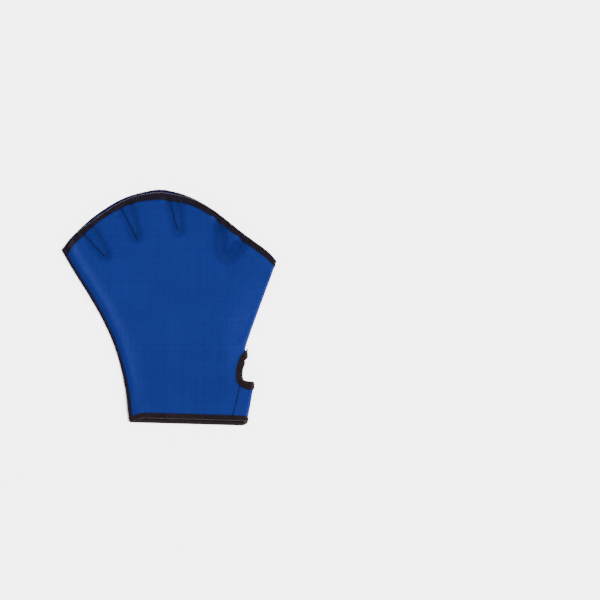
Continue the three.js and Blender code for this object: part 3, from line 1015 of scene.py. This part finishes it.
@dataclass(frozen=True)
class JerseyFinish:
    """Knitted jersey laminated on foam rubber. Lengths are in metres."""

    base: Colour = (0.0078, 0.0275, 0.25, 1)
    lighter: Colour = (0.0104, 0.0322, 0.272, 1)
    darker: Colour = (0.0062, 0.024, 0.228, 1)
    wale: float = 0.0009
    course: float = 0.0007
    streak: float = 0.0024
    depth: float = 0.00009
    roughness: float = 0.86
    sheen: float = 0.2
    sheen_tint: Colour = (0.35, 0.5, 1.0, 1)
    wobble: float = 0.0002
    streak_scale: float = 9.0
    cloud_scale: float = 26.0
    mottle_scale: float = 520.0
    fuzz_scale: float = 2600.0
    wobble_scale: float = 900.0

    def material(self) -> bpy.types.Material:
        """Builds the material on the sheet's own UV map."""
        shader = Shader("neoprene_jersey")
        flat = shader.flat_places()
        parts = shader.add("ShaderNodeSeparateXYZ", {0: flat})
        shake = shader.math("MULTIPLY", shader.noise(flat, self.wobble_scale, 1.0), self.wobble)
        wales = shader.wave(shader.math("ADD", parts.outputs[0], shake), self.wale)
        slope = shader.math("MULTIPLY", shader.math("ABSOLUTE", wales), self.wobble)
        courses = shader.wave(shader.math("ADD", parts.outputs[1], slope), self.course)
        knit = shader.math("MULTIPLY_ADD", courses, 0.5, shader.math("ABSOLUTE", wales))
        fuzz = shader.noise(flat, self.fuzz_scale, 2.0, 0.7)
        scales = (1 / self.streak, self.streak_scale)
        upright = shader.noise(shader.stretched(flat, (*scales, 1.0)), 1.0, 3.0, 0.6)
        level = shader.noise(shader.stretched(flat, (*scales[::-1], 1.0)), 1.0, 3.0, 0.6)
        cloud = shader.noise(flat, self.cloud_scale, 3.0, 0.55)
        streaks = shader.math("MULTIPLY", shader.math("ADD", upright, level), 0.5)
        tone = shader.math("MULTIPLY_ADD", streaks, 0.6, shader.math("MULTIPLY", cloud, 0.4))
        dark = shader.mix(shader.spread(tone, 0.36, 0.5, 0.0, 1.0), self.darker, self.base)
        body = shader.mix(shader.spread(tone, 0.5, 0.64, 0.0, 1.0), dark, self.lighter)
        mottle = shader.math("MULTIPLY_ADD", shader.noise(flat, self.mottle_scale, 2.0), 1.3, fuzz)
        grain = shader.spread(shader.math("MULTIPLY_ADD", knit, 0.25, mottle), 0.6, 2.0, 0.76, 1.24)
        colour = shader.add("ShaderNodeVectorMath", {0: body, "Scale": grain}, operation="SCALE")
        soft = shader.bump(shader.math("ADD", streaks, shader.math("MULTIPLY", cloud, 2.0)), 0.0005)
        return shader.finished({
            "Base Color": colour.outputs[0],
            "Roughness": shader.spread(fuzz, 0.3, 0.7, self.roughness - 0.06, self.roughness + 0.06),
            "Sheen Weight": self.sheen,
            "Sheen Roughness": 0.3,
            "Sheen Tint": self.sheen_tint,
            "Specular IOR Level": 0.2,
            "Normal": shader.bump(shader.math("MULTIPLY_ADD", fuzz, 0.6, knit), self.depth, soft),
        })


@dataclass(frozen=True)
class ThreadFinish:
    """Twisted polyester thread. Lengths are in metres."""

    name: str
    colour: Colour
    lighter: Colour
    twist: float = 0.0005
    depth: float = 0.00006
    roughness: float = 0.6
    fibre_scale: float = 3200.0
    patch_scale: float = 140.0

    def material(self) -> bpy.types.Material:
        """Builds the material on object coordinates."""
        shader = Shader(self.name)
        where = shader.places()
        fibres = shader.noise(where, self.fibre_scale, 2.0, 0.6)
        patches = shader.noise(where, self.patch_scale, 2.0, 0.5)
        tone = shader.math("MULTIPLY_ADD", fibres, 0.6, shader.math("MULTIPLY", patches, 0.4))
        links = {"Vector": where, "Scale": 1 / (self.twist * 12), "Distortion": 2.0, "Detail": 1.0}
        turns = shader.add("ShaderNodeTexWave", links, wave_type="BANDS", bands_direction="DIAGONAL")
        return shader.finished({
            **DULL,
            "Base Color": shader.mix(shader.spread(tone, 0.38, 0.66, 0.0, 1.0), self.colour, self.lighter),
            "Roughness": shader.spread(fibres, 0.3, 0.7, self.roughness - 0.08, self.roughness + 0.1),
            "Normal": shader.bump(turns.outputs[1], self.depth),
        })


@dataclass(frozen=True)
class TapeFinish:
    """Woven binding tape with ribs across it. Lengths are in metres."""

    name: str
    colour: Colour
    lighter: Colour
    rib: float = 0.0008
    depth: float = 0.00007
    roughness: float = 0.78
    # painted light: a lighter tape colour that stands in for light on the back layer's tape, which the
    # front layer shades
    painted_light: Colour = (0.047, 0.033, 0.038, 1)
    fuzz_scale: float = 2400.0
    wear_scale: float = 120.0

    def material(self) -> bpy.types.Material:
        """Builds the material on the tape's own UV map. A point attribute marks where the tape is painted a
        lighter colour, as painted light.
        """
        shader = Shader(self.name)
        flat = shader.flat_places()
        parts = shader.add("ShaderNodeSeparateXYZ", {0: flat})
        warp = shader.wave(parts.outputs[0], self.rib)
        weft = shader.wave(parts.outputs[1], self.rib * 0.7)
        weave = shader.math("MULTIPLY", warp, weft)
        fuzz = shader.noise(flat, self.fuzz_scale, 2.0, 0.7)
        wear = shader.noise(flat, self.wear_scale, 3.0, 0.6)
        tone = shader.math("MULTIPLY_ADD", wear, 0.7, shader.math("MULTIPLY", fuzz, 0.3))
        new = shader.mix(shader.spread(tone, 0.36, 0.66, 0.0, 1.0), self.colour, self.lighter)
        # painted light: where the attribute is set, the tape's colour turns to the lighter painted-light
        # colour
        painted_light_share = shader.add("ShaderNodeAttribute", attribute_name="painted_light").outputs["Fac"]
        return shader.finished({
            **DULL,
            "Base Color": shader.mix(painted_light_share, new, self.painted_light),
            "Roughness": shader.spread(wear, 0.3, 0.7, self.roughness - 0.08, self.roughness + 0.08),
            "Normal": shader.bump(shader.math("MULTIPLY_ADD", fuzz, 0.8, weave), self.depth),
        })


@dataclass(frozen=True)
class PaperFinish:
    """The plain pale floor."""

    colour: Colour = (0.95, 0.95, 0.95, 1)
    glow: float = 4.4
    mottle_scale: float = 40.0
    mottle_low: float = 0.995

    def material(self) -> bpy.types.Material:
        """Builds the material."""
        shader = Shader("pale_floor")
        mottle = shader.noise(shader.places(), self.mottle_scale)
        low = tuple(part * self.mottle_low for part in self.colour[:3]) + (1,)
        return shader.finished({
            "Base Color": shader.mix(mottle, low, self.colour),
            "Roughness": 0.9,
            "Specular IOR Level": 0.1,
            "Emission Color": (1.0, 1.0, 1.0, 1),
            "Emission Strength": self.glow,
        })


class Wardrobe:
    """Every finish of the glove, built once."""

    def __init__(self) -> None:
        """Builds the materials."""
        self.jersey = JerseyFinish().material()
        self.thread = ThreadFinish(
            "overlock_thread", (0.0088, 0.0056, 0.0122, 1), (0.028, 0.0185, 0.038, 1)
        ).material()
        self.mat = TapeFinish(
            "overlock_mat", (0.0088, 0.0058, 0.012, 1), (0.021, 0.014, 0.029, 1), 0.0009
        ).material()
        self.tape = TapeFinish(
            "binding_tape", (0.0125, 0.0075, 0.0095, 1), (0.03, 0.0185, 0.024, 1)
        ).material()
        self.seam = ThreadFinish(
            "sewing_thread", (0.005, 0.007, 0.02, 1), (0.012, 0.016, 0.045, 1)
        ).material()
        self.fine = ThreadFinish("fine_thread", (0.02, 0.03, 0.085, 1), (0.045, 0.062, 0.15, 1)).material()


@dataclass
class NeopreneShell:
    """The folded neoprene sheet, with its thumb hole cut through both layers."""

    form: SheetForm
    columns: int = 142
    rows: int = 128
    fold_steps: int = 10
    flat: tuple[float, float] = (0.345, 0.192)
    flat_area: float = 0.0415
    column_density: tuple[tuple[float, float], ...] = (
        (0, 1.6), (0.04, 1), (0.09, 1), (0.105, 2.6), (0.165, 2.6), (0.185, 1), (0.27, 1), (0.285, 2.6),
        (0.35, 2.6), (0.37, 1), (0.465, 1), (0.48, 2.6), (0.54, 2.6), (0.56, 1), (0.69, 1), (0.705, 2.3),
        (0.91, 2.3), (0.93, 1), (0.97, 1.4), (1, 1.8),
    )
    row_density: tuple[tuple[float, float], ...] = (
        (0, 1.4), (0.08, 0.8), (0.3, 0.8), (0.7, 0.8), (0.79, 2.2), (1, 2.2),
    )
    cutter_heights: tuple[float, float] = (-5.0, 25.0)

    def build(self, finish: bpy.types.Material) -> bpy.types.Object:
        """Builds the sheet, cuts the thumb hole and dresses it.

        Args:
            finish: The jersey.

        Returns:
            The shell.
        """
        form = self.form
        columns = spaced_by(self.column_density, self.columns)
        rows = spaced_by(self.row_density, self.rows)
        stations = Stations.around(columns, self.fold_steps)
        share, turn = stations.share[None, :], stations.turn[None, :]
        half = form.wall / 2
        outer = form.point(share, turn, rows[:, None], 0.0, half)
        inner = form.point(share, turn, rows[:, None], 0.0, -half)
        count, around = outer.shape[:2]
        points = np.concatenate([outer.reshape(-1, 3), inner.reshape(-1, 3)])
        skin = count * around
        faces = self.grid_faces(count, around, skin)
        uvs = self.cut_flat((outer + inner) / 2, len(columns)).reshape(-1, 2)
        shell = MeshMaker.mesh_object("neoprene_shell", points, faces, np.concatenate([uvs, uvs]))
        MeshMaker.smooth(shell)
        self.cut_hole(shell)
        MeshMaker.smooth(shell, outwards=False)
        return Dressing(finish, "neoprene", "shell").put_on(shell)

    @staticmethod
    def grid_faces(count: int, around: int, skin: int) -> list[tuple[int, ...]]:
        """The faces of a closed sheet of two skins.

        Args:
            count: Rows of points.
            around: Points in a row.
            skin: Points of the outer skin, after which the inner one's begin.

        Returns:
            The faces as indices.
        """
        faces, last_row, last_column = [], (count - 1) * around, around - 1
        for i in range(count - 1):
            for j in range(around - 1):
                a, b = i * around + j, (i + 1) * around + j
                faces += [(a, b, b + 1, a + 1), (skin + a, skin + a + 1, skin + b + 1, skin + b)]
        for j in range(around - 1):
            b = last_row + j
            faces += [(j, j + 1, skin + j + 1, skin + j), (b, skin + b, skin + b + 1, b + 1)]
        for a in range(0, last_row, around):
            b = a + last_column
            faces.append((a, skin + a, skin + a + around, a + around))
            faces.append((b, b + around, skin + b + around, skin + b))
        return faces

    @staticmethod
    def cut_flat(middle: np.ndarray, columns: int) -> np.ndarray:
        """Where each point of the sheet lay before it was folded, so that the knit runs straight.

        Args:
            middle: The sheet's middle points, row by row.
            columns: How many of a row's points are on one layer.

        Returns:
            Places on the flat cloth, in millimetres.
        """
        steps = np.abs(np.diff(middle[..., 0], axis=1))
        bend = slice(columns - 1, -columns)
        steps[:, bend] = np.linalg.norm(np.diff(middle, axis=1), axis=2)[:, bend]
        across = np.concatenate([middle[:, :1, 0], middle[:, :1, 0] + np.cumsum(steps, axis=1)], axis=1)
        return np.stack([across, middle[..., 1]], axis=-1)

    def cut_hole(self, shell: bpy.types.Object) -> None:
        """Cuts the thumb hole straight through both layers."""
        outline = self.form.hole_outline()
        beyond = 4 * self.form.fold_radius
        ends = outline[0] + (beyond, 0), outline[-1] + (beyond, beyond)
        outline = np.concatenate([[ends[0]], outline, [ends[1]]]) + np.array(self.form.origin)
        rings = np.stack([
            np.column_stack([outline, np.full(len(outline), height)]) for height in self.cutter_heights
        ])
        cutter = MeshMaker.swept("thumb_hole_cutter", rings, closed=False)
        cut = shell.modifiers.new("thumb_hole", "BOOLEAN")
        cut.operation, cut.solver, cut.object = "DIFFERENCE", "EXACT", cutter
        mesh = evaluated_mesh(shell)
        shell.modifiers.clear()
        shell.data = mesh
        bpy.data.objects.remove(cutter)


RIDGE = ((-0.5, 0.0), (-0.2, 0.8), (0.0, 1.0), (0.2, 0.8), (0.5, 0.0))
EDGE_TURNS = (90, 66, 42, 14, -14, -42, -66, -90)


@dataclass(frozen=True)
class EdgeSection:
    """The section of a trim that wraps an edge, over both faces and round it. Millimetres."""

    above: float
    below: float
    thick: float
    clear: float = 0.04
    lip: float = 0.35
    ridges: tuple[float, ...] = ()
    ridge_height: float = 0.0
    shoulder: float = 0.55

    def ring(self) -> np.ndarray:
        """The section in order round, as (out from the edge, side, extra height) for each point.

        A point's height is its side times half the edge's thickness, plus the extra.
        """
        shoulder = self.thick * self.shoulder
        top = [
            (-self.above, 1.0, self.clear),
            (-self.above - self.clear, 1.0, shoulder),
            (-self.above + self.lip, 1.0, self.thick),
        ]
        for ridge in self.ridges:
            top += [(-ridge + offset, 1.0, self.thick + rise * self.ridge_height) for offset, rise in RIDGE]
        turns = [math.radians(degrees) for degrees in EDGE_TURNS]
        around = [
            (self.clear + self.thick * math.cos(turn), math.sin(turn), self.thick * math.sin(turn))
            for turn in turns
        ]
        bottom = [
            (-self.below + self.lip, -1.0, -self.thick),
            (-self.below - self.clear, -1.0, -shoulder),
            (-self.below, -1.0, -self.clear),
        ]
        inside = [(self.clear, -1.0, -self.clear), (self.clear, 1.0, self.clear)]
        return np.array(top + around + bottom + inside)


@dataclass
class RimTrim:
    """What the two rims share: a path round the folded sheet at one open end."""

    form: SheetForm
    rim: Rim
    fold_steps: int = 12

    def stations(self, count: int) -> Stations:
        """Even stations round the rim, in the order that puts the outside on the left of the path.

        Args:
            count: Stations on each layer.

        Returns:
            The stations.
        """
        found = Stations.around(np.linspace(0, 1, count), self.fold_steps)
        if self.rim is Rim.WRIST:
            return Stations(found.share[::-1], found.turn[::-1])
        return found

    def point(self, stations: Stations, out: float | np.ndarray, height: np.ndarray | float) -> np.ndarray:
        """Points beside the rim.

        Args:
            stations: The stations round it.
            out: Millimetres outside the sheet's cut edge.
            height: Millimetres out from the middle of the sheet's thickness.

        Returns:
            One point for each station.
        """
        shift = out if self.rim is Rim.FINGERS else -out
        return self.form.point(stations.share, stations.turn, float(self.rim.value), shift, height)

    def trim(self, name: str, section: EdgeSection, count: int) -> bpy.types.Object:
        """A trim that wraps the rim.

        Args:
            name: The piece's name.
            section: Its section.
            count: Stations on each layer.

        Returns:
            The piece, without its finish.
        """
        stations = self.stations(count)
        half, spread = self.form.wall / 2, self.spread(stations.share)
        ring = [
            self.point(stations, out * (spread if out < 0 and side > 0 else 1.0), side * half + extra)
            for out, side, extra in section.ring()
        ]
        return MeshMaker.swept(name, np.stack(ring, axis=1), closed=False)

    def spread(self, share: np.ndarray) -> np.ndarray:
        """How much wider than its section the trim is at shares from seam to fold."""
        return np.ones_like(share)

    def path(self, count: int) -> tuple[np.ndarray, np.ndarray]:
        """The rim's middle line, with the sheet's outward direction at each point."""
        stations, probe = self.stations(count), 0.6
        outwards = self.point(stations, 0.0, probe) - self.point(stations, 0.0, -probe)
        return self.point(stations, 0.0, 0.0), normalised(outwards)


@dataclass
class FingerEdge(RimTrim):
    """The overlocked finger edge: close black thread outside, single threads over the blue inside."""

    rim: Rim = Rim.FINGERS
    width: float = 4.2
    mat_thick: float = 0.42
    inner_mat: float = 0.25
    close: OverlockSizes = OverlockSizes(
        pitch=0.84, reach=4.2, reach_below=0.25, half=0.42, bulge_share=0.4, slant=0.35, thread_radius=0.3
    )
    spaced: OverlockSizes = OverlockSizes(
        pitch=1.68, reach=4.6, reach_below=3.6, half=0.2, bulge_share=0.4, slant=-0.3, thread_radius=0.42
    )
    swells: tuple[tuple[float, float, float], ...] = (
        (0.48, 0.06, 0.19), (0.03, 0.08, 0.22), (0.21, 0.09, -0.28),
    )
    mat_stations: int = 230
    thread_stations: int = 260

    def spread(self, share: np.ndarray) -> np.ndarray:
        """The band is widest at its crown and at the seam, and narrowest between them."""
        return 1 + sum(extra * bell(share, centre, width) for centre, width, extra in self.swells)

    def build(self, sewing: Sewing, wardrobe: Wardrobe) -> list[bpy.types.Object]:
        """Builds the mat of thread and the loops over it."""
        section = EdgeSection(self.width, self.inner_mat, self.mat_thick)
        mat = self.trim("finger_edge_mat", section, self.mat_stations)
        pieces = [Dressing(wardrobe.mat, "overlock_thread", "finger_edge").put_on(mat)]
        path = self.path(self.thread_stations)
        spread = self.spread(self.stations(self.thread_stations).share)
        wear = Dressing(wardrobe.thread, "overlock_thread", "finger_edge")
        for kind, sizes in (("close", self.close), ("open", self.spaced)):
            sizes = sizes.over(self.form.wall / 2)
            pieces.append(sewing.along(f"finger_edge_{kind}_threads", [path], sizes, wear, spread))
        return pieces


@dataclass
class SideSeam:
    """The overlocked seam that closes the little-finger side, between the bands of the two rims."""

    form: SheetForm
    width: float = 1.25
    wrist_extra: float = 0.9
    extra_from: float = 0.04
    extra_to: float = 0.4
    mat_thick: float = 0.4
    close: OverlockSizes = OverlockSizes(
        pitch=0.86, reach=1.25, reach_below=1.25, half=0.4, bulge_share=0.3, slant=0.35, thread_radius=0.3
    )
    spaced: OverlockSizes = OverlockSizes(
        pitch=1.72, reach=2.75, reach_below=2.75, half=0.2, bulge_share=0.39, slant=-0.3, thread_radius=0.44
    )
    start: float = 0.5
    end: float = 0.5
    stations: int = 170

    def frames(self, count: int) -> tuple[np.ndarray, np.ndarray, np.ndarray]:
        """The seam edge's middle line.

        Args:
            count: How many points to make.

        Returns:
            The points, the outward directions and half the thickness of the two layers there.
        """
        form = self.form
        length = form.lines["seam"].length
        along = np.linspace(self.start / length, 1 - self.end / length, count)
        across = np.zeros(count)
        at = form.place(across, along)
        gap, level = form.heights(across, along, at)
        forward = normalised(np.gradient(at, axis=0))
        outwards = np.column_stack([-forward[:, 1], forward[:, 0], np.zeros(count)])
        return np.column_stack([at + np.array(form.origin), level]), outwards, form.wall + gap / 2

    def build(self, sewing: Sewing, wardrobe: Wardrobe) -> list[bpy.types.Object]:
        """Builds the mat of thread and the loops over it."""
        middle, outwards, half = self.frames(self.stations)
        from_wrist = smooth_step(np.linspace(0, 1, len(middle)), self.extra_from, self.extra_to)
        spread = 1 + self.wrist_extra * (1 - from_wrist)
        ring = [
            middle + outwards * (out * (spread if out < 0 else 1.0) * np.ones(len(middle)))[:, None]
            + UPRIGHT * (side * half + extra)[:, None]
            for out, side, extra in EdgeSection(self.width, self.width, self.mat_thick).ring()
        ]
        mat = MeshMaker.swept("side_seam_mat", np.stack(ring, axis=1), closed=False)
        pieces = [Dressing(wardrobe.mat, "overlock_thread", "side_seam").put_on(mat)]
        wear = Dressing(wardrobe.thread, "overlock_thread", "side_seam")
        path = (middle, np.broadcast_to(UPRIGHT, middle.shape))
        for kind, sizes, wider in (("close", self.close, spread), ("open", self.spaced, 1.0)):
            sizes = sizes.over(float(half.mean()))
            pieces.append(sewing.along(f"side_seam_{kind}_threads", [path], sizes, wear, wider))
        return pieces


@dataclass
class WristBinding(RimTrim):
    """The tape folded over the open wrist, with a line of stitches along it."""

    rim: Rim = Rim.WRIST
    width: float = 3.5
    thick: float = 0.72
    lip: float = 0.5
    stitch_from_edge: float = 2.7
    stitch: StitchSizes = StitchSizes(pitch=2.3, length=1.9, rise=0.14, thread_radius=0.16)
    # tape at stations turned below this is painted lighter, as painted light
    painted_light_below: float = -0.5
    tape_stations: int = 190
    stitch_stations: int = 200

    def build(self, sewing: Sewing, wardrobe: Wardrobe) -> list[bpy.types.Object]:
        """Builds the tape, painted lighter on the back layer as painted light, and its stitches."""
        section = EdgeSection(self.width, self.width, self.thick, lip=self.lip)
        tape = self.trim("wrist_tape", section, self.tape_stations)
        # painted light: the back layer's tape gets the lighter colour in place of the light that the front
        # layer shades from it
        on_back = self.stations(self.tape_stations).turn < self.painted_light_below
        painted_light = np.repeat(on_back, len(section.ring())).astype(np.float32)
        tape.data.attributes.new("painted_light", "FLOAT", "POINT").data.foreach_set("value", painted_light)
        Dressing(wardrobe.tape, "binding_tape", "wrist_binding").put_on(tape)
        stations = self.stations(self.stitch_stations)
        stitches = []
        for side in (1, -1):
            height = side * (self.form.wall / 2 + self.thick)
            path = self.point(stations, -self.stitch_from_edge, height)
            below = self.point(stations, -self.stitch_from_edge, height - side)
            stitches.append((path, normalised(path - below)))
        wear = Dressing(wardrobe.thread, "binding_tape", "wrist_binding")
        return [tape, sewing.along("wrist_tape_stitches", stitches, self.stitch, wear)]


@dataclass
class ThumbBinding:
    """The tape folded over the thumb hole's raw edge, which goes over both layers and round the fold."""

    form: SheetForm
    width: float = 4.6
    strap_extra: float = 0.26
    strap_end: tuple[float, float] = (0.12, 0.38)
    swell: float = 1.7
    thick: float = 0.72
    ridges: tuple[float, ...] = (3.3, 1.5)
    ridge_height: float = 0.26
    stitch_rows: tuple[float, ...] = (2.4, 0.7)
    stitch: StitchSizes = StitchSizes(pitch=2.2, length=1.8, rise=0.12, thread_radius=0.15)
    lip: float = 0.4
    side_points: int = 110
    fold_points: int = 16
    search: tuple[float, float] = (0.12, 0.6)
    search_rounds: int = 40
    start_points: int = 8
    end_points: int = 12
    start_clear: float = 0.1
    end_clear: float = 0.15

    def bend(self, inwards: float, reach: float, above_hole: bool) -> np.ndarray:
        """The part of a rail that goes round the fold, from the front layer to the back one.

        Args:
            inwards: Millimetres from the cut edge into the sheet.
            reach: Millimetres out from the middle of the sheet's thickness.
            above_hole: Whether it is the end beyond the hole, or the one on the strap.

        Returns:
            Points in the row frame.
        """
        form, outline = self.form, self.form.hole_outline()
        inwards = inwards if above_hole else self.widened(inwards, np.zeros(1))[0]
        corner = outline[-1] if above_hole else outline[0]
        swell = self.swell if above_hole and reach > 0 else 0.0
        normal = DIAGONAL * (-1, 1) if above_hole else np.array([0.0, -1.0])
        turns = np.linspace(QUARTER, -QUARTER, self.fold_points)
        low, high = (np.full(len(turns), share) for share in self.search)
        for _ in range(self.search_rounds):
            middle = (low + high) / 2
            at = self.fold_point(middle, turns, reach, swell)[:, :2] - np.array(form.origin)
            further = ((at - corner) @ normal < inwards) == above_hole
            low, high = np.where(further, middle, low), np.where(further, high, middle)
        return self.fold_point((low + high) / 2, turns, reach, swell)

    def widened(self, inwards: float, share: np.ndarray) -> np.ndarray:
        """How far into the sheet a rail lies, which is further on the strap than elsewhere."""
        if inwards <= 0:
            return np.full(len(share), inwards)
        return inwards * (1 + self.strap_extra * (1 - smooth_step(share, *self.strap_end)))

    def fold_point(self, along: np.ndarray, turns: np.ndarray, reach: float, swell: float) -> np.ndarray:
        """Points round the fold at shares of the back layer's length, swelled sideways."""
        form = self.form
        across = 1 - form.fold_radius / form.row_width(along)
        at = form.place(across, along)
        gap, level = form.heights(across, along, at)
        out = gap / 2 + form.wall / 2 + reach
        sideways = form.towards_fold(at, along) * ((out + swell) * np.cos(turns))[:, None]
        return np.column_stack([at + sideways + np.array(form.origin), level + out * np.sin(turns)])

    def flat_run(
        self, inwards: float, reach: float, layer: Layer, start: np.ndarray, end: np.ndarray
    ) -> np.ndarray:
        """The part of a rail that lies on one layer, between the two bends."""
        outline = self.form.hole_outline()
        forward = normalised(np.gradient(outline, axis=0))
        forward[0], forward[-1] = (-1.0, 0.0), DIAGONAL
        normal = np.column_stack([-forward[:, 1], forward[:, 0]])
        rail = outline + normal * self.widened(inwards, np.linspace(0, 1, len(outline)))[:, None]
        origin = np.array(self.form.origin)
        start, end = start[:2] - origin, end[:2] - origin
        number = np.arange(len(rail))
        keep = (rail[:, 0] < start[0] - self.start_clear) | (number > self.start_points)
        keep &= ((rail - end) @ np.ones(2) < -self.end_clear) | (number < len(rail) - self.end_points)
        rail = np.concatenate([[start], rail[keep], [end]])
        lengths = walked_lengths(rail)
        even = np.linspace(0, lengths[-1], self.side_points)
        places = np.column_stack([np.interp(even, lengths, rail[:, i]) for i in range(2)])
        return self.form.over(places, layer, reach)

    def rail(self, inwards: float, reach: float) -> np.ndarray:
        """One closed rail: along the front layer, round the fold, and back along the back layer.

        Args:
            inwards: Millimetres from the cut edge into the sheet.
            reach: Millimetres out from the middle of the sheet's thickness.

        Returns:
            Points in the row frame, in order round.
        """
        low, high = self.bend(inwards, reach, False), self.bend(inwards, reach, True)
        front = self.flat_run(inwards, reach, Layer.FRONT, low[0], high[0])
        back = self.flat_run(inwards, reach, Layer.BACK, low[-1], high[-1])
        return np.concatenate([front, high[1:-1], back[::-1], low[::-1][1:-1]])

    def build(self, sewing: Sewing, wardrobe: Wardrobe) -> list[bpy.types.Object]:
        """Builds the tape and its two lines of stitches."""
        section = EdgeSection(
            self.width, self.width, self.thick, lip=self.lip, ridges=self.ridges,
            ridge_height=self.ridge_height,
        )
        half = self.form.wall / 2
        ring = [self.rail(-out, side * half + extra) for out, side, extra in section.ring()]
        tape = MeshMaker.swept("thumb_tape", np.stack(ring, axis=1), closed=True)
        Dressing(wardrobe.tape, "binding_tape", "thumb_binding").put_on(tape)
        height = half + self.thick
        stitches = []
        for inwards in self.stitch_rows:
            path = self.rail(inwards, height)
            up = normalised(path - self.rail(inwards, height - 1))
            stitches.append((np.concatenate([path, path[:1]]), np.concatenate([up, up[:1]])))
        wear = Dressing(wardrobe.thread, "binding_tape", "thumb_binding")
        return [tape, sewing.along("thumb_tape_stitches", stitches, self.stitch, wear)]


@dataclass
class StrapSeam:
    """The seam that joins the strap below the thumb hole to the front layer."""

    form: SheetForm
    start: float = 7.6
    end: float = 29.4
    raised: float = 0.15
    path_points: int = 60
    stitch: StitchSizes = StitchSizes(pitch=1.5, length=1.75, rise=0.1, thread_radius=0.42, slant=0.12)

    def build(self, sewing: Sewing, wardrobe: Wardrobe) -> list[bpy.types.Object]:
        """Builds the seam's close stitches."""
        form = self.form
        length = form.lines["fold"].length
        along = np.linspace(self.start / length, self.end / length, self.path_points)
        places = form.place(1 - form.flap(along) / form.row_width(along), along)
        path = form.over(places, Layer.FRONT, form.wall / 2 - form.strap_groove + self.raised)
        wear = Dressing(wardrobe.seam, "overlock_thread", "strap_seam")
        rows = [(path, np.broadcast_to(UPRIGHT, path.shape))]
        return [sewing.along("strap_seam_cord", rows, self.stitch, wear)]


@dataclass
class WebStitches:
    """The stitches that hold the two layers together between the fingers."""

    form: SheetForm
    raised: float = 0.1
    firm_dip: float = 1.0
    firm: StitchSizes = StitchSizes(pitch=1.9, length=1.9, rise=0.16, thread_radius=0.52, slant=0.08)
    fine: StitchSizes = StitchSizes(pitch=1.9, length=1.9, rise=0.16, thread_radius=0.3, slant=0.08)
    knot: StitchSizes = StitchSizes(pitch=2.6, length=1.1, rise=0.16, thread_radius=0.4, slant=0.08)

    def build(self, sewing: Sewing, wardrobe: Wardrobe) -> list[bpy.types.Object]:
        """Builds the stitches of both layers: firm lines, fine ones, and the last web's knotted end."""
        firm, fine, knots = [], [], []
        lines = self.form.lines["stitches"]
        for number, (line, dip) in enumerate(lines):
            rows = firm if dip > self.firm_dip else fine
            if number == len(lines) - 1:
                rows = knots
            for layer in Layer:
                path = self.form.over(line, layer, self.form.wall / 2 + self.raised)
                rows.append((path, np.broadcast_to(UPRIGHT * layer.value, path.shape)))
        kinds = (
            ("web_firm_stitches", firm, self.firm, wardrobe.seam),
            ("web_fine_stitches", fine, self.fine, wardrobe.fine),
            ("web_knots", knots, self.knot, wardrobe.seam),
        )
        return [
            sewing.along(name, rows, sizes, Dressing(thread, "overlock_thread", "shell"))
            for name, rows, sizes, thread in kinds
        ]


@dataclass(frozen=True)
class Studio:
    """The floor, the lights and the camera. Lengths are in metres."""

    view_centre: tuple[float, float] = (0.1053, 0.0059)
    view_width: float = 0.48
    lens: float = 250.0
    sensor: float = 36.0
    floor_size: float = 6.0
    world_strength: float = 0.75
    lights: tuple[tuple[str, tuple[float, float, float], float, float], ...] = (
        ("softbox_right", (0.85, 0.55, 1.5), 0.9, 13.0),
        ("softbox_left", (-1.0, 0.2, 1.3), 1.1, 5.0),
    )

    def build(self) -> None:
        """Builds the floor, the lights and the camera."""
        half = self.floor_size / 2
        corners = np.array([[-half, -half, 0], [half, -half, 0], [half, half, 0], [-half, half, 0]]) / MM
        floor = MeshMaker.mesh_object("pale_floor", corners, [(0, 1, 2, 3)])
        floor.data.materials.append(PaperFinish().material())
        world = bpy.data.worlds.new("pale_room")
        world.use_nodes = True
        sky = world.node_tree.nodes["Background"]
        sky.inputs[0].default_value = (1.0, 1.0, 1.0, 1)
        sky.inputs[1].default_value = self.world_strength
        bpy.context.scene.world = world
        for name, place, size, power in self.lights:
            self.light(name, place, size, power)
        camera_data = bpy.data.cameras.new("camera")
        camera_data.lens, camera_data.sensor_width = self.lens, self.sensor
        camera = linked("camera", camera_data)
        camera.location = (*self.view_centre, self.view_width * self.lens / self.sensor)
        bpy.context.scene.camera = camera

    @staticmethod
    def light(name: str, place: tuple[float, float, float], size: float, power: float) -> None:
        """A square softbox that faces the glove.

        Args:
            name: The light's name.
            place: Where it hangs.
            size: Its side.
            power: Its power in watts.
        """
        data = bpy.data.lights.new(name, "AREA")
        data.shape, data.size, data.energy = "SQUARE", size, power
        lamp = linked(name, data)
        lamp.location = place
        towards = -np.array(place) / np.linalg.norm(place)
        lamp.rotation_euler = (math.acos(-towards[2]), 0.0, math.atan2(-towards[0], towards[1]))


def main() -> None:
    """Builds the glove and the studio."""
    logging.basicConfig(level=logging.INFO, format="%(name)s: %(message)s")
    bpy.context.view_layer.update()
    Studio().build()
    form = SheetForm()
    wardrobe, sewing = Wardrobe(), Sewing()
    shell = NeopreneShell(form)
    cloth = shell.build(wardrobe.jersey)
    parts = (FingerEdge, SideSeam, WristBinding, ThumbBinding, StrapSeam, WebStitches)
    trims = [piece for part in parts for piece in part(form).build(sewing, wardrobe)]


if __name__ == "__main__":
    main()
